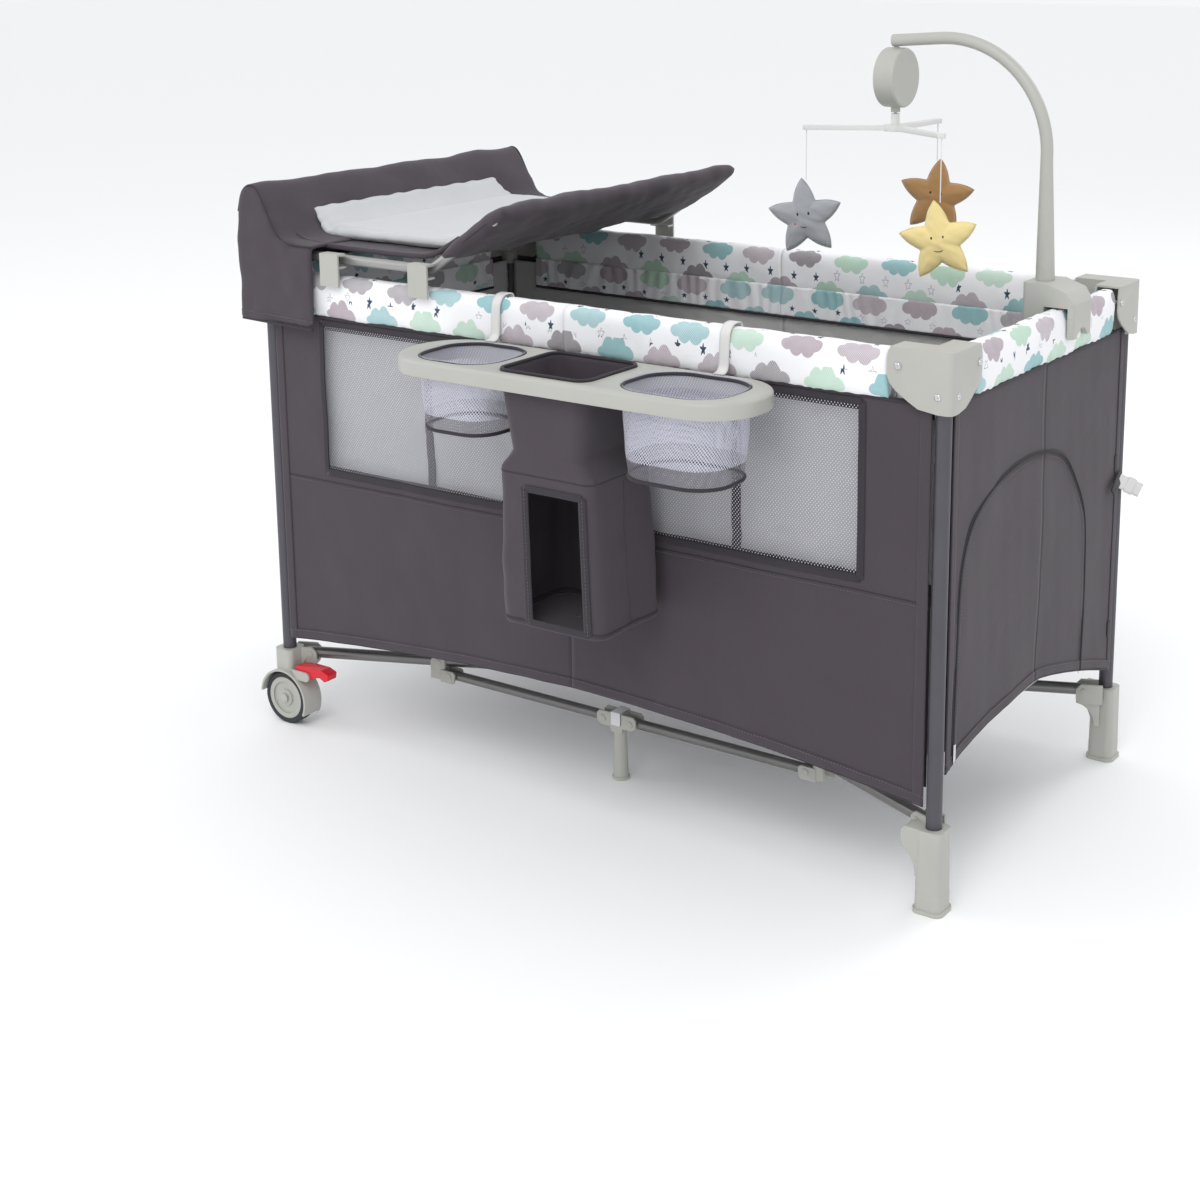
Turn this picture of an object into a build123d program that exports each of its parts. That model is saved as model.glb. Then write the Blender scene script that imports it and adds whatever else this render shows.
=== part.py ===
from build123d import *
import math
import os

os.makedirs("parts", exist_ok=True)

# Travel play yard, in millimetres: +X runs from the caster end to the foot end,
# -Y is the side that carries the organizer, +Z is up and Z = 0 is the floor.
# Everything is laid out about the middle of the four posts, and each finished
# piece is then moved so that the whole part is centred on its origin.
CENTRE_X = 10.5
CENTRE_Y = 78.9

# ---- posts and corner brackets ----
POST_X = 603.0
POST_Y = 303.0
POST_R = 11.0
TUBE_WALL = 1.5
POST_TOP = 766.0
FOOT_POST_BOTTOM = 70.0
CASTER_POST_BOTTOM = 102.0
POST_BORE_LOW = {1: FOOT_POST_BOTTOM - 0.5, -1: CASTER_POST_BOTTOM - 0.5}
BORE_GAP = 0.3
PIN_R = 3.0
PIN_GAP = 0.3
HEAD_R = 5.5
HEAD_H = 1.5

# ---- folding rails ----
RAIL_Z = 757.0
RAIL_R = 10.0
PIVOT_IN = 58.0
MID_PIVOT = 22.0
STUB = 8.0
COVER_TOP = 777.0
COVER_BOTTOM = 713.0
COVER_HALF = 16.5
COVER_END_X = 525.0
COVER_END_Y = 232.0
COVER_MID = 1.5

BRACKET_IN = 17.2
BRACKET_OUT = 20.2
BRACKET_TOP = 781.5
BRACKET_SKIN = 778.2
BRACKET_LOW = 699.0
LOBE_X = 529.0
LOBE_Y = 236.0

# ---- folding base ----
FOOT_PIVOT_X = POST_X - 27.0
FOOT_PIVOT_Y = POST_Y - 25.0
SPAN_X = POST_X - PIVOT_IN - MID_PIVOT
SPAN_Y = POST_Y - PIVOT_IN - MID_PIVOT
BRACE_LEN = math.hypot(SPAN_X, SPAN_Y)
UX = SPAN_X / BRACE_LEN
UY = SPAN_Y / BRACE_LEN
BRACE_Z = 118.0
BRACE_R = 9.5
CLIP_AT = 225.0
BAR_Z = 98.0
BAR_R = 8.0
LEG_PIVOT = 26.0
CLIP_X = FOOT_PIVOT_X - CLIP_AT * UX
CLIP_Y = FOOT_PIVOT_Y - CLIP_AT * UY
BAR_START = LEG_PIVOT + (BRACE_LEN - CLIP_AT) * UX
HUB_X = FOOT_PIVOT_X - SPAN_X
HUB_Y = FOOT_PIVOT_Y - SPAN_Y
EAR_IN = 10.3
EAR_OUT = 14.0
BAR_EAR_IN = 8.6
BAR_EAR_OUT = 12.0

# ---- feet and casters ----
SOCKET = 38.0
SOCKET_R = 9.0
FOOT_TOP = 121.0
HOUSING_TOP = 130.0
GUSSET_X = 562.0
WHEEL_X = 600.0
WHEEL_Z = 45.0
WHEEL_R = 45.0
RIM_R = 36.0
WHEEL_Y0 = 297.0
WHEEL_Y1 = 323.0
HOOD_R0 = 47.5
HOOD_R1 = 51.0
AXLE_R = 4.0
LEVER_X = 550.0
LEVER_Z = 92.0

# ---- fabric ----
WALL_Y0 = POST_Y + 6.0
WALL_Y1 = POST_Y + 9.0
WALL_TOP = 711.0
WINDOW_X = 488.0
WINDOW_LOW = 455.0
WINDOW_HIGH = 700.0
HEM_CORNER = 152.0
HEM_LONG = 193.0
HEM_SHORT = 236.0
PAD_Z = 186.0
PAD_T = 26.0

# ---- organizer ----
TRAY_X = 94.0
TRAY_Y = -409.0
TRAY_Z = 690.0
TRAY_T = 24.0
BIN_TOP = 717.0

# ---- changing table ----
SLING_Z = 804.0
SLING_R = 8.0
HOOK_LOW = 764.0

# ---- mobile ----
MAST_X = 566.0
MAST_Y = 80.0
ARM_Z = 985.0
ARM_R = 160.0
HANG_X = 322.0
SPIDER_Z = 1018.0

CORNERS = {
    "front_left": (-1, -1),
    "front_right": (1, -1),
    "rear_left": (-1, 1),
    "rear_right": (1, 1),
}


def save(part, name):
    """Move a finished piece to its place about the part's origin, label it and write it out."""
    placed = part.moved(Location((CENTRE_X, CENTRE_Y, 0)))
    placed.label = name
    export_step(placed, f"parts/{name}.step")


def slab(x0, x1, y0, y1, z0, z1, mode=Mode.ADD):
    """Rectangular block between two opposite corners."""
    with Locations(((x0 + x1) / 2, (y0 + y1) / 2, (z0 + z1) / 2)):
        Box(abs(x1 - x0), abs(y1 - y0), abs(z1 - z0), mode=mode)


def corner_slab(sx, sy, x0, x1, y0, y1, z0, z1, mode=Mode.ADD):
    """Block given for the +X +Y corner and mirrored to corner (sx, sy)."""
    slab(sx * x0, sx * x1, sy * y0, sy * y1, z0, z1, mode)


def rod(start, direction, length, radius, mode=Mode.ADD):
    """Round bar from a start point along a direction."""
    with BuildSketch(Plane(origin=start, z_dir=direction)) as section:
        Circle(radius)
    extrude(section.sketch, amount=length, mode=mode)


def cross_pin(center, axis, half, radius=PIN_R):
    """Pin with a round head at each end, centred on a pivot."""
    start = tuple(c - half * a for c, a in zip(center, axis))
    rod(start, axis, 2 * half, radius)
    for side in (-1, 1):
        outward = tuple(side * a for a in axis)
        seat = tuple(c + (half - HEAD_H) * o for c, o in zip(center, outward))
        rod(seat, outward, HEAD_H, HEAD_R)


def brace_plane(origin, sx, sy):
    """Plane whose X runs from the corner to the hub and whose Y is up."""
    return Plane(
        origin=origin,
        x_dir=(-sx * UX, -sy * UY, 0),
        z_dir=(-sy * UY, sx * UX, 0),
    )


def brace_axis(sx, sy):
    """Horizontal hinge axis across a brace."""
    return (-sy * UY, sx * UX, 0)


def brace_point(sx, sy, along, z=BRACE_Z):
    """Point on a brace's centreline, measured from its foot pivot."""
    return (sx * (FOOT_PIVOT_X - along * UX), sy * (FOOT_PIVOT_Y - along * UY), z)


def ears(plane, outline, inner, outer):
    """Two flat ears of one outline, either side of a plane."""
    for side in (-1, 1):
        with BuildSketch(plane.offset(side * (inner + outer) / 2)) as ear:
            with BuildLine():
                Polyline(*outline, close=True)
            make_face()
        extrude(ear.sketch, amount=(outer - inner) / 2, both=True)


def lobe(plane, tip, root, low):
    """Rounded cheek of a bracket's rail channel, from its tip to its root."""
    with BuildSketch(plane) as cheek:
        with BuildLine():
            Polyline(
                (tip + 9, BRACKET_TOP), (tip + 2, BRACKET_TOP - 4), (tip, BRACKET_TOP - 14), (tip, low + 44),
                (tip + 4, low + 34), (tip + 14, low + 24), (tip + 32, low + 12), (tip + 46, low + 4),
                (root, low), (root, BRACKET_TOP), close=True,
            )
        make_face()
    extrude(cheek.sketch, amount=1.5, both=True)


def slot_out(plane, x0, x1, y0, y1, half):
    """Clear a box in a plane's own axes, centred on the plane."""
    with BuildSketch(plane) as room:
        with Locations(((x0 + x1) / 2, (y0 + y1) / 2)):
            Rectangle(x1 - x0, y1 - y0)
    extrude(room.sketch, amount=half, both=True, mode=Mode.SUBTRACT)


# ======================= corner posts and top brackets =======================

for name, (sx, sy) in CORNERS.items():
    low = FOOT_POST_BOTTOM if sx > 0 else CASTER_POST_BOTTOM
    # Round steel post
    with BuildPart() as post:
        with BuildSketch(Plane.XY.offset(low)):
            with Locations((sx * POST_X, sy * POST_Y)):
                Circle(POST_R)
                Circle(POST_R - TUBE_WALL, mode=Mode.SUBTRACT)
        extrude(amount=POST_TOP - low)
    save(post.part, f"post_tube_{name}")

    # Two-lobed plastic bracket: a sleeve on the post and a downward-open
    # channel for each rail, with a cross pin at each rail's hinge
    with BuildPart() as bracket:
        with BuildSketch(Plane.XY.offset(BRACKET_LOW)):
            with Locations((sx * POST_X, sy * POST_Y)):
                Circle(POST_R + BORE_GAP + 3.0)
        extrude(amount=BRACKET_TOP - BRACKET_LOW)
        x_in, x_out = POST_X - BRACKET_OUT, POST_X + BRACKET_OUT
        y_in, y_out = POST_Y - BRACKET_OUT, POST_Y + BRACKET_OUT
        corner_slab(sx, sy, POST_X, x_out, POST_Y, y_out, BRACKET_LOW, BRACKET_TOP)
        corner_slab(sx, sy, LOBE_X + 4, x_out, y_in, y_out, BRACKET_SKIN, BRACKET_TOP)
        corner_slab(sx, sy, x_in, x_out, LOBE_Y + 4, y_out, BRACKET_SKIN, BRACKET_TOP)
        long_side = Plane(origin=(0, sy * POST_Y, 0), x_dir=(sx, 0, 0), z_dir=(0, -sx, 0))
        end_side = Plane(origin=(sx * POST_X, 0, 0), x_dir=(0, sy, 0), z_dir=(sy, 0, 0))
        outward = -sx * sy
        for side_plane, turn, tip, post_at in (
            (long_side, outward, LOBE_X, POST_X),
            (end_side, -outward, LOBE_Y, POST_Y),
        ):
            lobe(side_plane.offset(turn * (BRACKET_IN + 1.5)), tip, post_at, BRACKET_LOW)
            lobe(side_plane.offset(-turn * (BRACKET_IN + 1.5)), tip, post_at - BRACKET_IN, BRACKET_LOW + 20)
        bore_start = (sx * POST_X, sy * POST_Y, BRACKET_LOW - 1)
        rod(bore_start, (0, 0, 1), POST_TOP - BRACKET_LOW + 2, POST_R + BORE_GAP, Mode.SUBTRACT)
        upright = bracket.edges().filter_by(Axis.Z)
        outer_corner = upright.sort_by(lambda e: -abs(e.center().X) - abs(e.center().Y))
        fillet(outer_corner[0], radius=9.0)
        cross_pin((sx * (POST_X - PIVOT_IN), sy * POST_Y, RAIL_Z), (0, 1, 0), BRACKET_OUT + HEAD_H)
        cross_pin((sx * POST_X, sy * (POST_Y - PIVOT_IN), RAIL_Z), (1, 0, 0), BRACKET_OUT + HEAD_H)
    save(bracket.part, f"corner_bracket_{name}")


# ============================ feet and caster housings ============================

def brace_bracket(sx, sy):
    """Ears and pin that hold a brace's outer end beside the post socket."""
    plane = brace_plane(brace_point(sx, sy, 0), sx, sy)
    outline = [(-30, -20), (6, -20), (12, -12), (12, 4), (4, 12), (-30, 12)]
    ears(plane, outline, EAR_IN, EAR_OUT)
    with BuildSketch(plane) as web:
        with Locations((-11, -17)):
            Rectangle(38, 6)
    extrude(web.sketch, amount=EAR_OUT, both=True)


def clear_brace(sx, sy):
    """Room for the brace's end to swing up, and the pin through it."""
    plane = brace_plane(brace_point(sx, sy, 0), sx, sy)
    slot_out(plane, -13.5, 40, -13.5, 60, EAR_IN)
    rod((sx * POST_X, sy * POST_Y, POST_BORE_LOW[sx]), (0, 0, 1), 80, POST_R + BORE_GAP, Mode.SUBTRACT)
    cross_pin(brace_point(sx, sy, 0), brace_axis(sx, sy), EAR_OUT + HEAD_H)


for name in ("front_right", "rear_right"):
    sx, sy = CORNERS[name]
    # Plastic foot: flared base, tapered column, post socket and curved gusset
    with BuildPart() as foot:
        with BuildSketch(Plane.XY) as sole:
            with Locations((sx * POST_X, sy * POST_Y)):
                RectangleRounded(46, 44, 12)
        extrude(amount=6)
        with BuildSketch(Plane.XY.offset(6)) as column_low:
            with Locations((sx * POST_X, sy * POST_Y)):
                RectangleRounded(41, 40, 11)
        with BuildSketch(Plane.XY.offset(98)) as column_high:
            with Locations((sx * POST_X, sy * POST_Y)):
                RectangleRounded(SOCKET, SOCKET, SOCKET_R)
        loft(sections=[column_low.sketch.face(), column_high.sketch.face()])
        with BuildSketch(Plane.XY.offset(98)):
            with Locations((sx * POST_X, sy * POST_Y)):
                RectangleRounded(SOCKET, SOCKET, SOCKET_R)
        extrude(amount=FOOT_TOP - 98)
        brace_bracket(sx, sy)
        with BuildSketch(brace_plane(brace_point(sx, sy, 0), sx, sy)):
            with BuildLine():
                Polyline((-26, -58), (-26, -16), (11, -16), (11, -20))
                ThreePointArc((11, -20), (-10, -33), (-18, -58))
                Line((-18, -58), (-26, -58))
            make_face()
        extrude(amount=EAR_IN, both=True)
        with BuildSketch(Plane(origin=(0, sy * (POST_Y + 4.5), 0), x_dir=(sx, 0, 0), z_dir=(0, -sx, 0))):
            with BuildLine():
                Polyline((POST_X, 52), (POST_X, FOOT_TOP), (GUSSET_X + 5, FOOT_TOP), (GUSSET_X, FOOT_TOP - 6))
                Line((GUSSET_X, FOOT_TOP - 6), (GUSSET_X + 1, 96))
                ThreePointArc((GUSSET_X + 1, 96), (578, 76), (584.5, 52))
                Line((584.5, 52), (POST_X, 52))
            make_face()
        extrude(amount=12.5, both=True)
        clear_brace(sx, sy)
    save(foot.part, f"foot_{name}")

for name in ("front_left", "rear_left"):
    sx, sy = CORNERS[name]
    wheel_plane = Plane(origin=(sx * WHEEL_X, sy * WHEEL_Y0, WHEEL_Z), x_dir=(1, 0, 0), z_dir=(0, -1, 0))
    # Caster housing: post socket, brace ears, wheel hood and fixed axle
    with BuildPart() as housing:
        with BuildSketch(Plane.XY.offset(94)):
            with Locations((sx * POST_X, sy * POST_Y)):
                RectangleRounded(SOCKET, SOCKET, SOCKET_R)
        extrude(amount=HOUSING_TOP - 94)
        brace_bracket(sx, sy)
        hood_plane = wheel_plane.offset(-sy * 14.0)
        with BuildSketch(hood_plane):
            Circle(HOOD_R1)
            Circle(HOOD_R0, mode=Mode.SUBTRACT)
            with BuildLine():
                Polyline((-70, -70), (70, -70), (70, -34), (0, 0), (-70, 8), close=True)
            make_face(mode=Mode.SUBTRACT)
        extrude(amount=17.5, both=True)
        side_plane = Plane(origin=(sx * WHEEL_X, sy * 291.5, WHEEL_Z), x_dir=(1, 0, 0), z_dir=(0, -1, 0))
        with BuildSketch(side_plane):
            Circle(HOOD_R1)
            with BuildLine():
                Polyline((-70, -70), (70, -70), (70, -34), (12, -12), (-12, -12), (-70, 8), close=True)
            make_face(mode=Mode.SUBTRACT)
        extrude(amount=2.0, both=True)
        rod((sx * WHEEL_X, sy * 290.0, WHEEL_Z), (0, sy, 0), 35.0, AXLE_R)
        rod((sx * WHEEL_X, sy * 323.8, WHEEL_Z), (0, sy, 0), 2.2, 7.0)
        for y0, y1 in ((295.5, 299.0), (321.0, 324.5)):
            with BuildSketch(Plane(origin=(0, sy * (y0 + y1) / 2, 0), x_dir=(1, 0, 0), z_dir=(0, -1, 0))):
                with Locations((sx * LEVER_X, LEVER_Z)):
                    Circle(8.0)
                with BuildLine():
                    Polyline((sx * 569, 84), (sx * 552, 84), (sx * 550, 100), (sx * 583, 100), close=True)
                make_face()
            extrude(amount=(y1 - y0) / 2, both=True)
        rod((sx * WHEEL_X, sy * WHEEL_Y0 - sy * 1, WHEEL_Z), (0, sy, 0), 27.6, HOOD_R0 - 0.5, Mode.SUBTRACT)
        rod((sx * WHEEL_X, sy * 290.0, WHEEL_Z), (0, sy, 0), 35.0, AXLE_R)
        rod((sx * WHEEL_X, sy * 323.8, WHEEL_Z), (0, sy, 0), 2.2, 7.0)
        rod((sx * LEVER_X, sy * 295.5, LEVER_Z), (0, sy, 0), 29.0, 2.5)
        clear_brace(sx, sy)
    save(housing.part, f"caster_housing_{name}")

    # Wheel disc with a rubber tyre around it, on the housing's axle
    with BuildPart() as wheel:
        with BuildSketch(wheel_plane.offset(-sy * 13.0)):
            Circle(RIM_R - 0.1)
            Circle(AXLE_R + 0.3, mode=Mode.SUBTRACT)
        extrude(amount=12.0, both=True)
        with BuildSketch(wheel_plane.offset(-sy * 25.0)):
            Circle(RIM_R - 8.0)
            Circle(RIM_R - 22.0, mode=Mode.SUBTRACT)
        extrude(amount=3.0, both=True, mode=Mode.SUBTRACT)
        with BuildSketch(wheel_plane.offset(-sy * 13.0)):
            Circle(WHEEL_R)
            Circle(RIM_R + 0.2, mode=Mode.SUBTRACT)
        extrude(amount=13.0, both=True)
        rings = wheel.edges().filter_by(GeomType.CIRCLE)
        fillet(rings.filter_by(lambda e: abs(e.radius - WHEEL_R) < 0.1), radius=4.0)
    save(wheel.part, f"caster_wheel_{name}")

    # Red brake lever on its own pin beside the hood
    with BuildPart() as lever:
        with BuildSketch(Plane(origin=(0, sy * 310.0, 0), x_dir=(1, 0, 0), z_dir=(0, -1, 0))):
            with BuildLine():
                Polyline(
                    (sx * 576, 99), (sx * 566, 99), (sx * 560, 86), (sx * 548, 84),
                    (sx * 540, 92), (sx * 520, 96), (sx * 510, 91), (sx * 503, 94),
                    (sx * 501, 105), (sx * 516, 110), (sx * 546, 110), (sx * 574, 107),
                    close=True,
                )
            make_face()
        extrude(amount=10.5, both=True)
        fillet(lever.edges().filter_by(Axis.Y), radius=1.5)
        rod((sx * LEVER_X, sy * 299.4, LEVER_Z), (0, sy, 0), 21.2, 7.5)
        rod((sx * LEVER_X, sy * 290.0, LEVER_Z), (0, sy, 0), 40.0, 2.8, Mode.SUBTRACT)
    save(lever.part, f"brake_lever_{name}")


# ================================ folding base ================================

for name, (sx, sy) in CORNERS.items():
    # Diagonal brace from the corner to the hub, pinned at both ends and at its clip
    along = (-sx * UX, -sy * UY, 0)
    across = brace_axis(sx, sy)
    with BuildPart() as brace:
        start = brace_point(sx, sy, -STUB)
        rod(start, along, BRACE_LEN + 2 * STUB, BRACE_R)
        rod(start, along, BRACE_LEN + 2 * STUB, BRACE_R - TUBE_WALL, Mode.SUBTRACT)
        for at in (0, CLIP_AT, BRACE_LEN):
            center = brace_point(sx, sy, at)
            edge = tuple(c - 20 * a for c, a in zip(center, across))
            rod(edge, across, 40, PIN_R + PIN_GAP, Mode.SUBTRACT)
    save(brace.part, f"base_brace_{name}")

    # Clip that rides upright on the brace and carries the cross bar's end
    clip_plane = brace_plane((sx * CLIP_X, sy * CLIP_Y, BRACE_Z), sx, sy)
    bar_plane = Plane(origin=(sx * BAR_START, sy * CLIP_Y, BAR_Z), x_dir=(-sx, 0, 0), z_dir=(0, sx, 0))
    with BuildPart() as clip:
        ears(clip_plane, [(-13, -26), (14, -30), (14, 4), (8, 12), (-8, 12), (-13, 4)], EAR_IN, EAR_OUT)
        with BuildSketch(clip_plane):
            with Locations((12.6, -22)):
                Rectangle(3.4, 20)
        extrude(amount=EAR_OUT, both=True)
        ears(bar_plane, [(-18, -12), (8, -12), (12, -6), (12, 6), (8, 9), (-18, 9)], BAR_EAR_IN, BAR_EAR_OUT)
        slot_out(clip_plane, -40, 10.6, -60, 40, EAR_IN)
        slot_out(clip_plane, -40, 60, -10.3, 40, EAR_IN)
        slot_out(bar_plane, -11.6, 40, -11.6, 60, BAR_EAR_IN)
        cross_pin((sx * CLIP_X, sy * CLIP_Y, BRACE_Z), across, EAR_OUT + HEAD_H)
        cross_pin((sx * BAR_START, sy * CLIP_Y, BAR_Z), (0, 1, 0), BAR_EAR_OUT + HEAD_H)
    save(clip.part, f"brace_clip_{name}")

    # Half of the front or rear cross bar, from the clip to the middle leg
    with BuildPart() as bar:
        start = (sx * (BAR_START + STUB), sy * CLIP_Y, BAR_Z)
        span = BAR_START - LEG_PIVOT + 2 * STUB
        rod(start, (-sx, 0, 0), span, BAR_R)
        rod(start, (-sx, 0, 0), span, BAR_R - TUBE_WALL, Mode.SUBTRACT)
        for at in (BAR_START, LEG_PIVOT):
            rod((sx * at, sy * CLIP_Y - 20, BAR_Z), (0, 1, 0), 40, PIN_R + PIN_GAP, Mode.SUBTRACT)
    save(bar.part, f"cross_bar_{name}")

# Middle legs, front and rear: a yoke for both half bars over a flared leg,
# with a webbing band around the yoke
for name, sy in (("front", -1), ("rear", 1)):
    with BuildPart() as leg:
        y = sy * CLIP_Y
        slab(-11, 11, y - BAR_EAR_OUT, y + BAR_EAR_OUT, 80, 112)
        for side in (-1, 1):
            pivot = (side * LEG_PIVOT, y, BAR_Z)
            yoke_plane = Plane(origin=pivot, x_dir=(side, 0, 0), z_dir=(0, -side, 0))
            cheek = [(-20, -10), (4, -10), (11, -4), (11, 8), (6, 13), (-20, 13)]
            ears(yoke_plane, cheek, BAR_EAR_IN, BAR_EAR_OUT)
            cross_pin(pivot, (0, 1, 0), BAR_EAR_OUT + HEAD_H)
        with BuildSketch(Plane.XY):
            with Locations((0, y)):
                Circle(14.0)
        extrude(amount=5)
        with BuildSketch(Plane.XY.offset(5)) as leg_low:
            with Locations((0, y)):
                Circle(12.0)
        with BuildSketch(Plane.XY.offset(82)) as leg_high:
            with Locations((0, y)):
                Circle(10.0)
        loft(sections=[leg_low.sketch.face(), leg_high.sketch.face()])
        band_y0, band_y1 = y - BAR_EAR_OUT - 0.5, y + BAR_EAR_OUT + 0.5
        slab(-9, 9, band_y0 - 1.5, band_y1 + 1.5, 112.4, 113.9)
        slab(-9, 9, band_y0 - 1.5, band_y0, 92, 113.9)
        slab(-9, 9, band_y1, band_y1 + 1.5, 92, 113.9)
    save(leg.part, f"middle_leg_{name}")

# Central hub: a block with a pair of ears for each brace, and a pull strap on top
with BuildPart() as hub:
    with BuildSketch(Plane.XY.offset(104)):
        RectangleRounded(62, 64, 14)
    extrude(amount=24)
    for sx, sy in CORNERS.values():
        plane = brace_plane(brace_point(sx, sy, BRACE_LEN), sx, sy)
        ears(plane, [(-10, -8), (-4, -13), (34, -13), (34, 10), (-6, 10), (-10, 6)], EAR_IN, EAR_OUT)
    for sx, sy in CORNERS.values():
        plane = brace_plane(brace_point(sx, sy, BRACE_LEN), sx, sy)
        slot_out(plane, -40, 13.5, -40, 13.5, EAR_IN)
    for sx, sy in CORNERS.values():
        cross_pin(brace_point(sx, sy, BRACE_LEN), brace_axis(sx, sy), EAR_OUT + HEAD_H)
    with BuildSketch(Plane.XZ):
        with BuildLine():
            Polyline(
                (-14, 128.3), (-14, 166), (-8, 177), (8, 177), (14, 166), (14, 128.3), (11.5, 128.3),
                (11.5, 165), (7, 174.5), (-7, 174.5), (-11.5, 165), (-11.5, 128.3), close=True,
            )
        make_face()
    extrude(amount=12, both=True)
save(hub.part, "base_hub")


# ================================ folding rails ================================

def cover_corner(swing):
    """Where a rail cover's inner corner, rounded about the middle hinge, starts, turns and ends."""
    reach = math.sqrt(swing**2 - (COVER_TOP - RAIL_Z) ** 2)
    drop = math.sqrt(swing**2 - (MID_PIVOT - COVER_MID) ** 2)
    mid = swing * math.sqrt(0.5)
    return reach, drop, mid


for name, (sx, sy) in CORNERS.items():
    side = "front" if sy < 0 else "rear"
    end = "left" if sx < 0 else "right"
    for kind in ("long", "short"):
        if kind == "long":
            plane = Plane(origin=(0, sy * POST_Y, RAIL_Z), x_dir=(sx, 0, 0), z_dir=(0, -sx, 0))
            hinge, cover_end = POST_X - PIVOT_IN, COVER_END_X
            axis, node = (sx, 0, 0), f"long_rail_{side}_{end}"
        else:
            plane = Plane(origin=(sx * POST_X, 0, RAIL_Z), x_dir=(0, sy, 0), z_dir=(sy, 0, 0))
            hinge, cover_end = POST_Y - PIVOT_IN, COVER_END_Y
            axis, node = (0, sy, 0), f"short_rail_{end}_{side}"
        tube_start = tuple(plane.from_local_coords((MID_PIVOT - 9, 0, 0)))
        pin_axis = (plane.z_dir.X, plane.z_dir.Y, 0)
        # Steel tube inside a padded printed cover, two separate bodies
        with BuildPart() as rail:
            reach, drop, mid = cover_corner(MID_PIVOT - 0.5)
            with BuildSketch(plane):
                with BuildLine():
                    arc_top = (MID_PIVOT - reach, COVER_TOP - RAIL_Z)
                    arc_low = (COVER_MID, drop)
                    Polyline(
                        arc_top, (cover_end, COVER_TOP - RAIL_Z), (cover_end, COVER_BOTTOM - RAIL_Z),
                        (COVER_MID, COVER_BOTTOM - RAIL_Z), arc_low,
                    )
                    ThreePointArc(arc_low, (MID_PIVOT - mid, mid), arc_top)
                make_face()
            extrude(amount=COVER_HALF, both=True)
            long_edges = rail.edges().filter_by(Axis.X if kind == "long" else Axis.Y)
            fillet(long_edges.filter_by(lambda e: abs(e.center().Z - RAIL_Z) > 15), radius=7.0)
            rod(tuple(plane.origin), axis, hinge, RAIL_R + BORE_GAP, Mode.SUBTRACT)
            span = hinge + STUB - (MID_PIVOT - 9)
            with BuildSketch(Plane(origin=tube_start, z_dir=axis)):
                Circle(RAIL_R)
                Circle(RAIL_R - TUBE_WALL, mode=Mode.SUBTRACT)
            extrude(amount=span)
            pivot = tuple(plane.from_local_coords((hinge, 0, 0)))
            pin_start = tuple(p - 20 * a for p, a in zip(pivot, pin_axis))
            rod(pin_start, pin_axis, 40, PIN_R + PIN_GAP, Mode.SUBTRACT)
        save(rail.part, node)


# ================================ fabric walls ================================

def wall_face(half, top, hem_mid, hem_end):
    """Half a wall panel from the middle of a side, its hem rising to the middle."""
    with BuildLine() as outline:
        Polyline((1, hem_mid), (1, top), (half, top), (half, hem_end))
        ThreePointArc((half, hem_end), (half * 0.5, hem_end + (hem_mid - hem_end) * 0.72), (1, hem_mid))
    make_face(outline.edges())


for name, (sx, sy) in CORNERS.items():
    # One corner's half panels: outer fabric, mesh window, thin lining and
    # printed inner skirt on the long side, and the same without a window at the end
    long_wall = Plane(origin=(0, 0, 0), x_dir=(sx, 0, 0), z_dir=(0, -sx, 0))
    end_wall = Plane(origin=(0, 0, 0), x_dir=(0, sy, 0), z_dir=(sy, 0, 0))
    out_y = -sx * sy
    out_x = sx * sy
    with BuildPart() as wall:
        with BuildSketch(long_wall.offset(out_y * (WALL_Y0 + WALL_Y1) / 2)):
            wall_face(588.0, WALL_TOP, HEM_LONG, HEM_CORNER)
            with Locations((WINDOW_X / 2, (WINDOW_LOW + WINDOW_HIGH) / 2)):
                Rectangle(WINDOW_X, WINDOW_HIGH - WINDOW_LOW, mode=Mode.SUBTRACT)
        extrude(amount=(WALL_Y1 - WALL_Y0) / 2, both=True)
        corner_slab(sx, sy, 1, WINDOW_X - 0.5, WALL_Y0 + 1, WALL_Y0 + 2, WINDOW_LOW + 0.5, WINDOW_HIGH - 0.5)
        with BuildSketch(long_wall.offset(out_y * 294.6)):
            wall_face(585.0, WALL_TOP, HEM_LONG + 8, HEM_CORNER + 20)
        extrude(amount=0.6, both=True)
        corner_slab(sx, sy, 1, 527, 287.0, 288.6, 668, WALL_TOP)
        with BuildSketch(end_wall.offset(out_x * (POST_X + 7.5))):
            wall_face(288.0, WALL_TOP, HEM_SHORT, HEM_CORNER + 6)
        extrude(amount=1.5, both=True)
        with BuildSketch(end_wall.offset(out_x * 594.6)):
            wall_face(285.0, WALL_TOP, HEM_SHORT + 8, HEM_CORNER + 24)
        extrude(amount=0.6, both=True)
        corner_slab(sx, sy, 587.0, 588.6, 1, 234, 668, WALL_TOP)
    save(wall.part, f"fabric_wall_{name}")

    # Quarter of the padded floor, its corners cut for the bracket and the hub
    with BuildPart() as pad:
        with BuildSketch(Plane.XY.offset(PAD_Z)):
            with BuildLine():
                Polyline(
                    (sx * 4, sy * 46), (sx * 4, sy * 284), (sx * 539, sy * 284), (sx * 583, sy * 240),
                    (sx * 583, sy * 4), (sx * 46, sy * 4), close=True,
                )
            make_face()
        extrude(amount=PAD_T)
        fillet(pad.faces().sort_by(Axis.Z)[-1].edges(), radius=7.0)
    save(pad.part, f"mattress_{name}")


# ================================ changing table ================================

sling_path = [(-612, 888), (-560, SLING_Z), (-262, SLING_Z), (-132, 890)]

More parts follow.
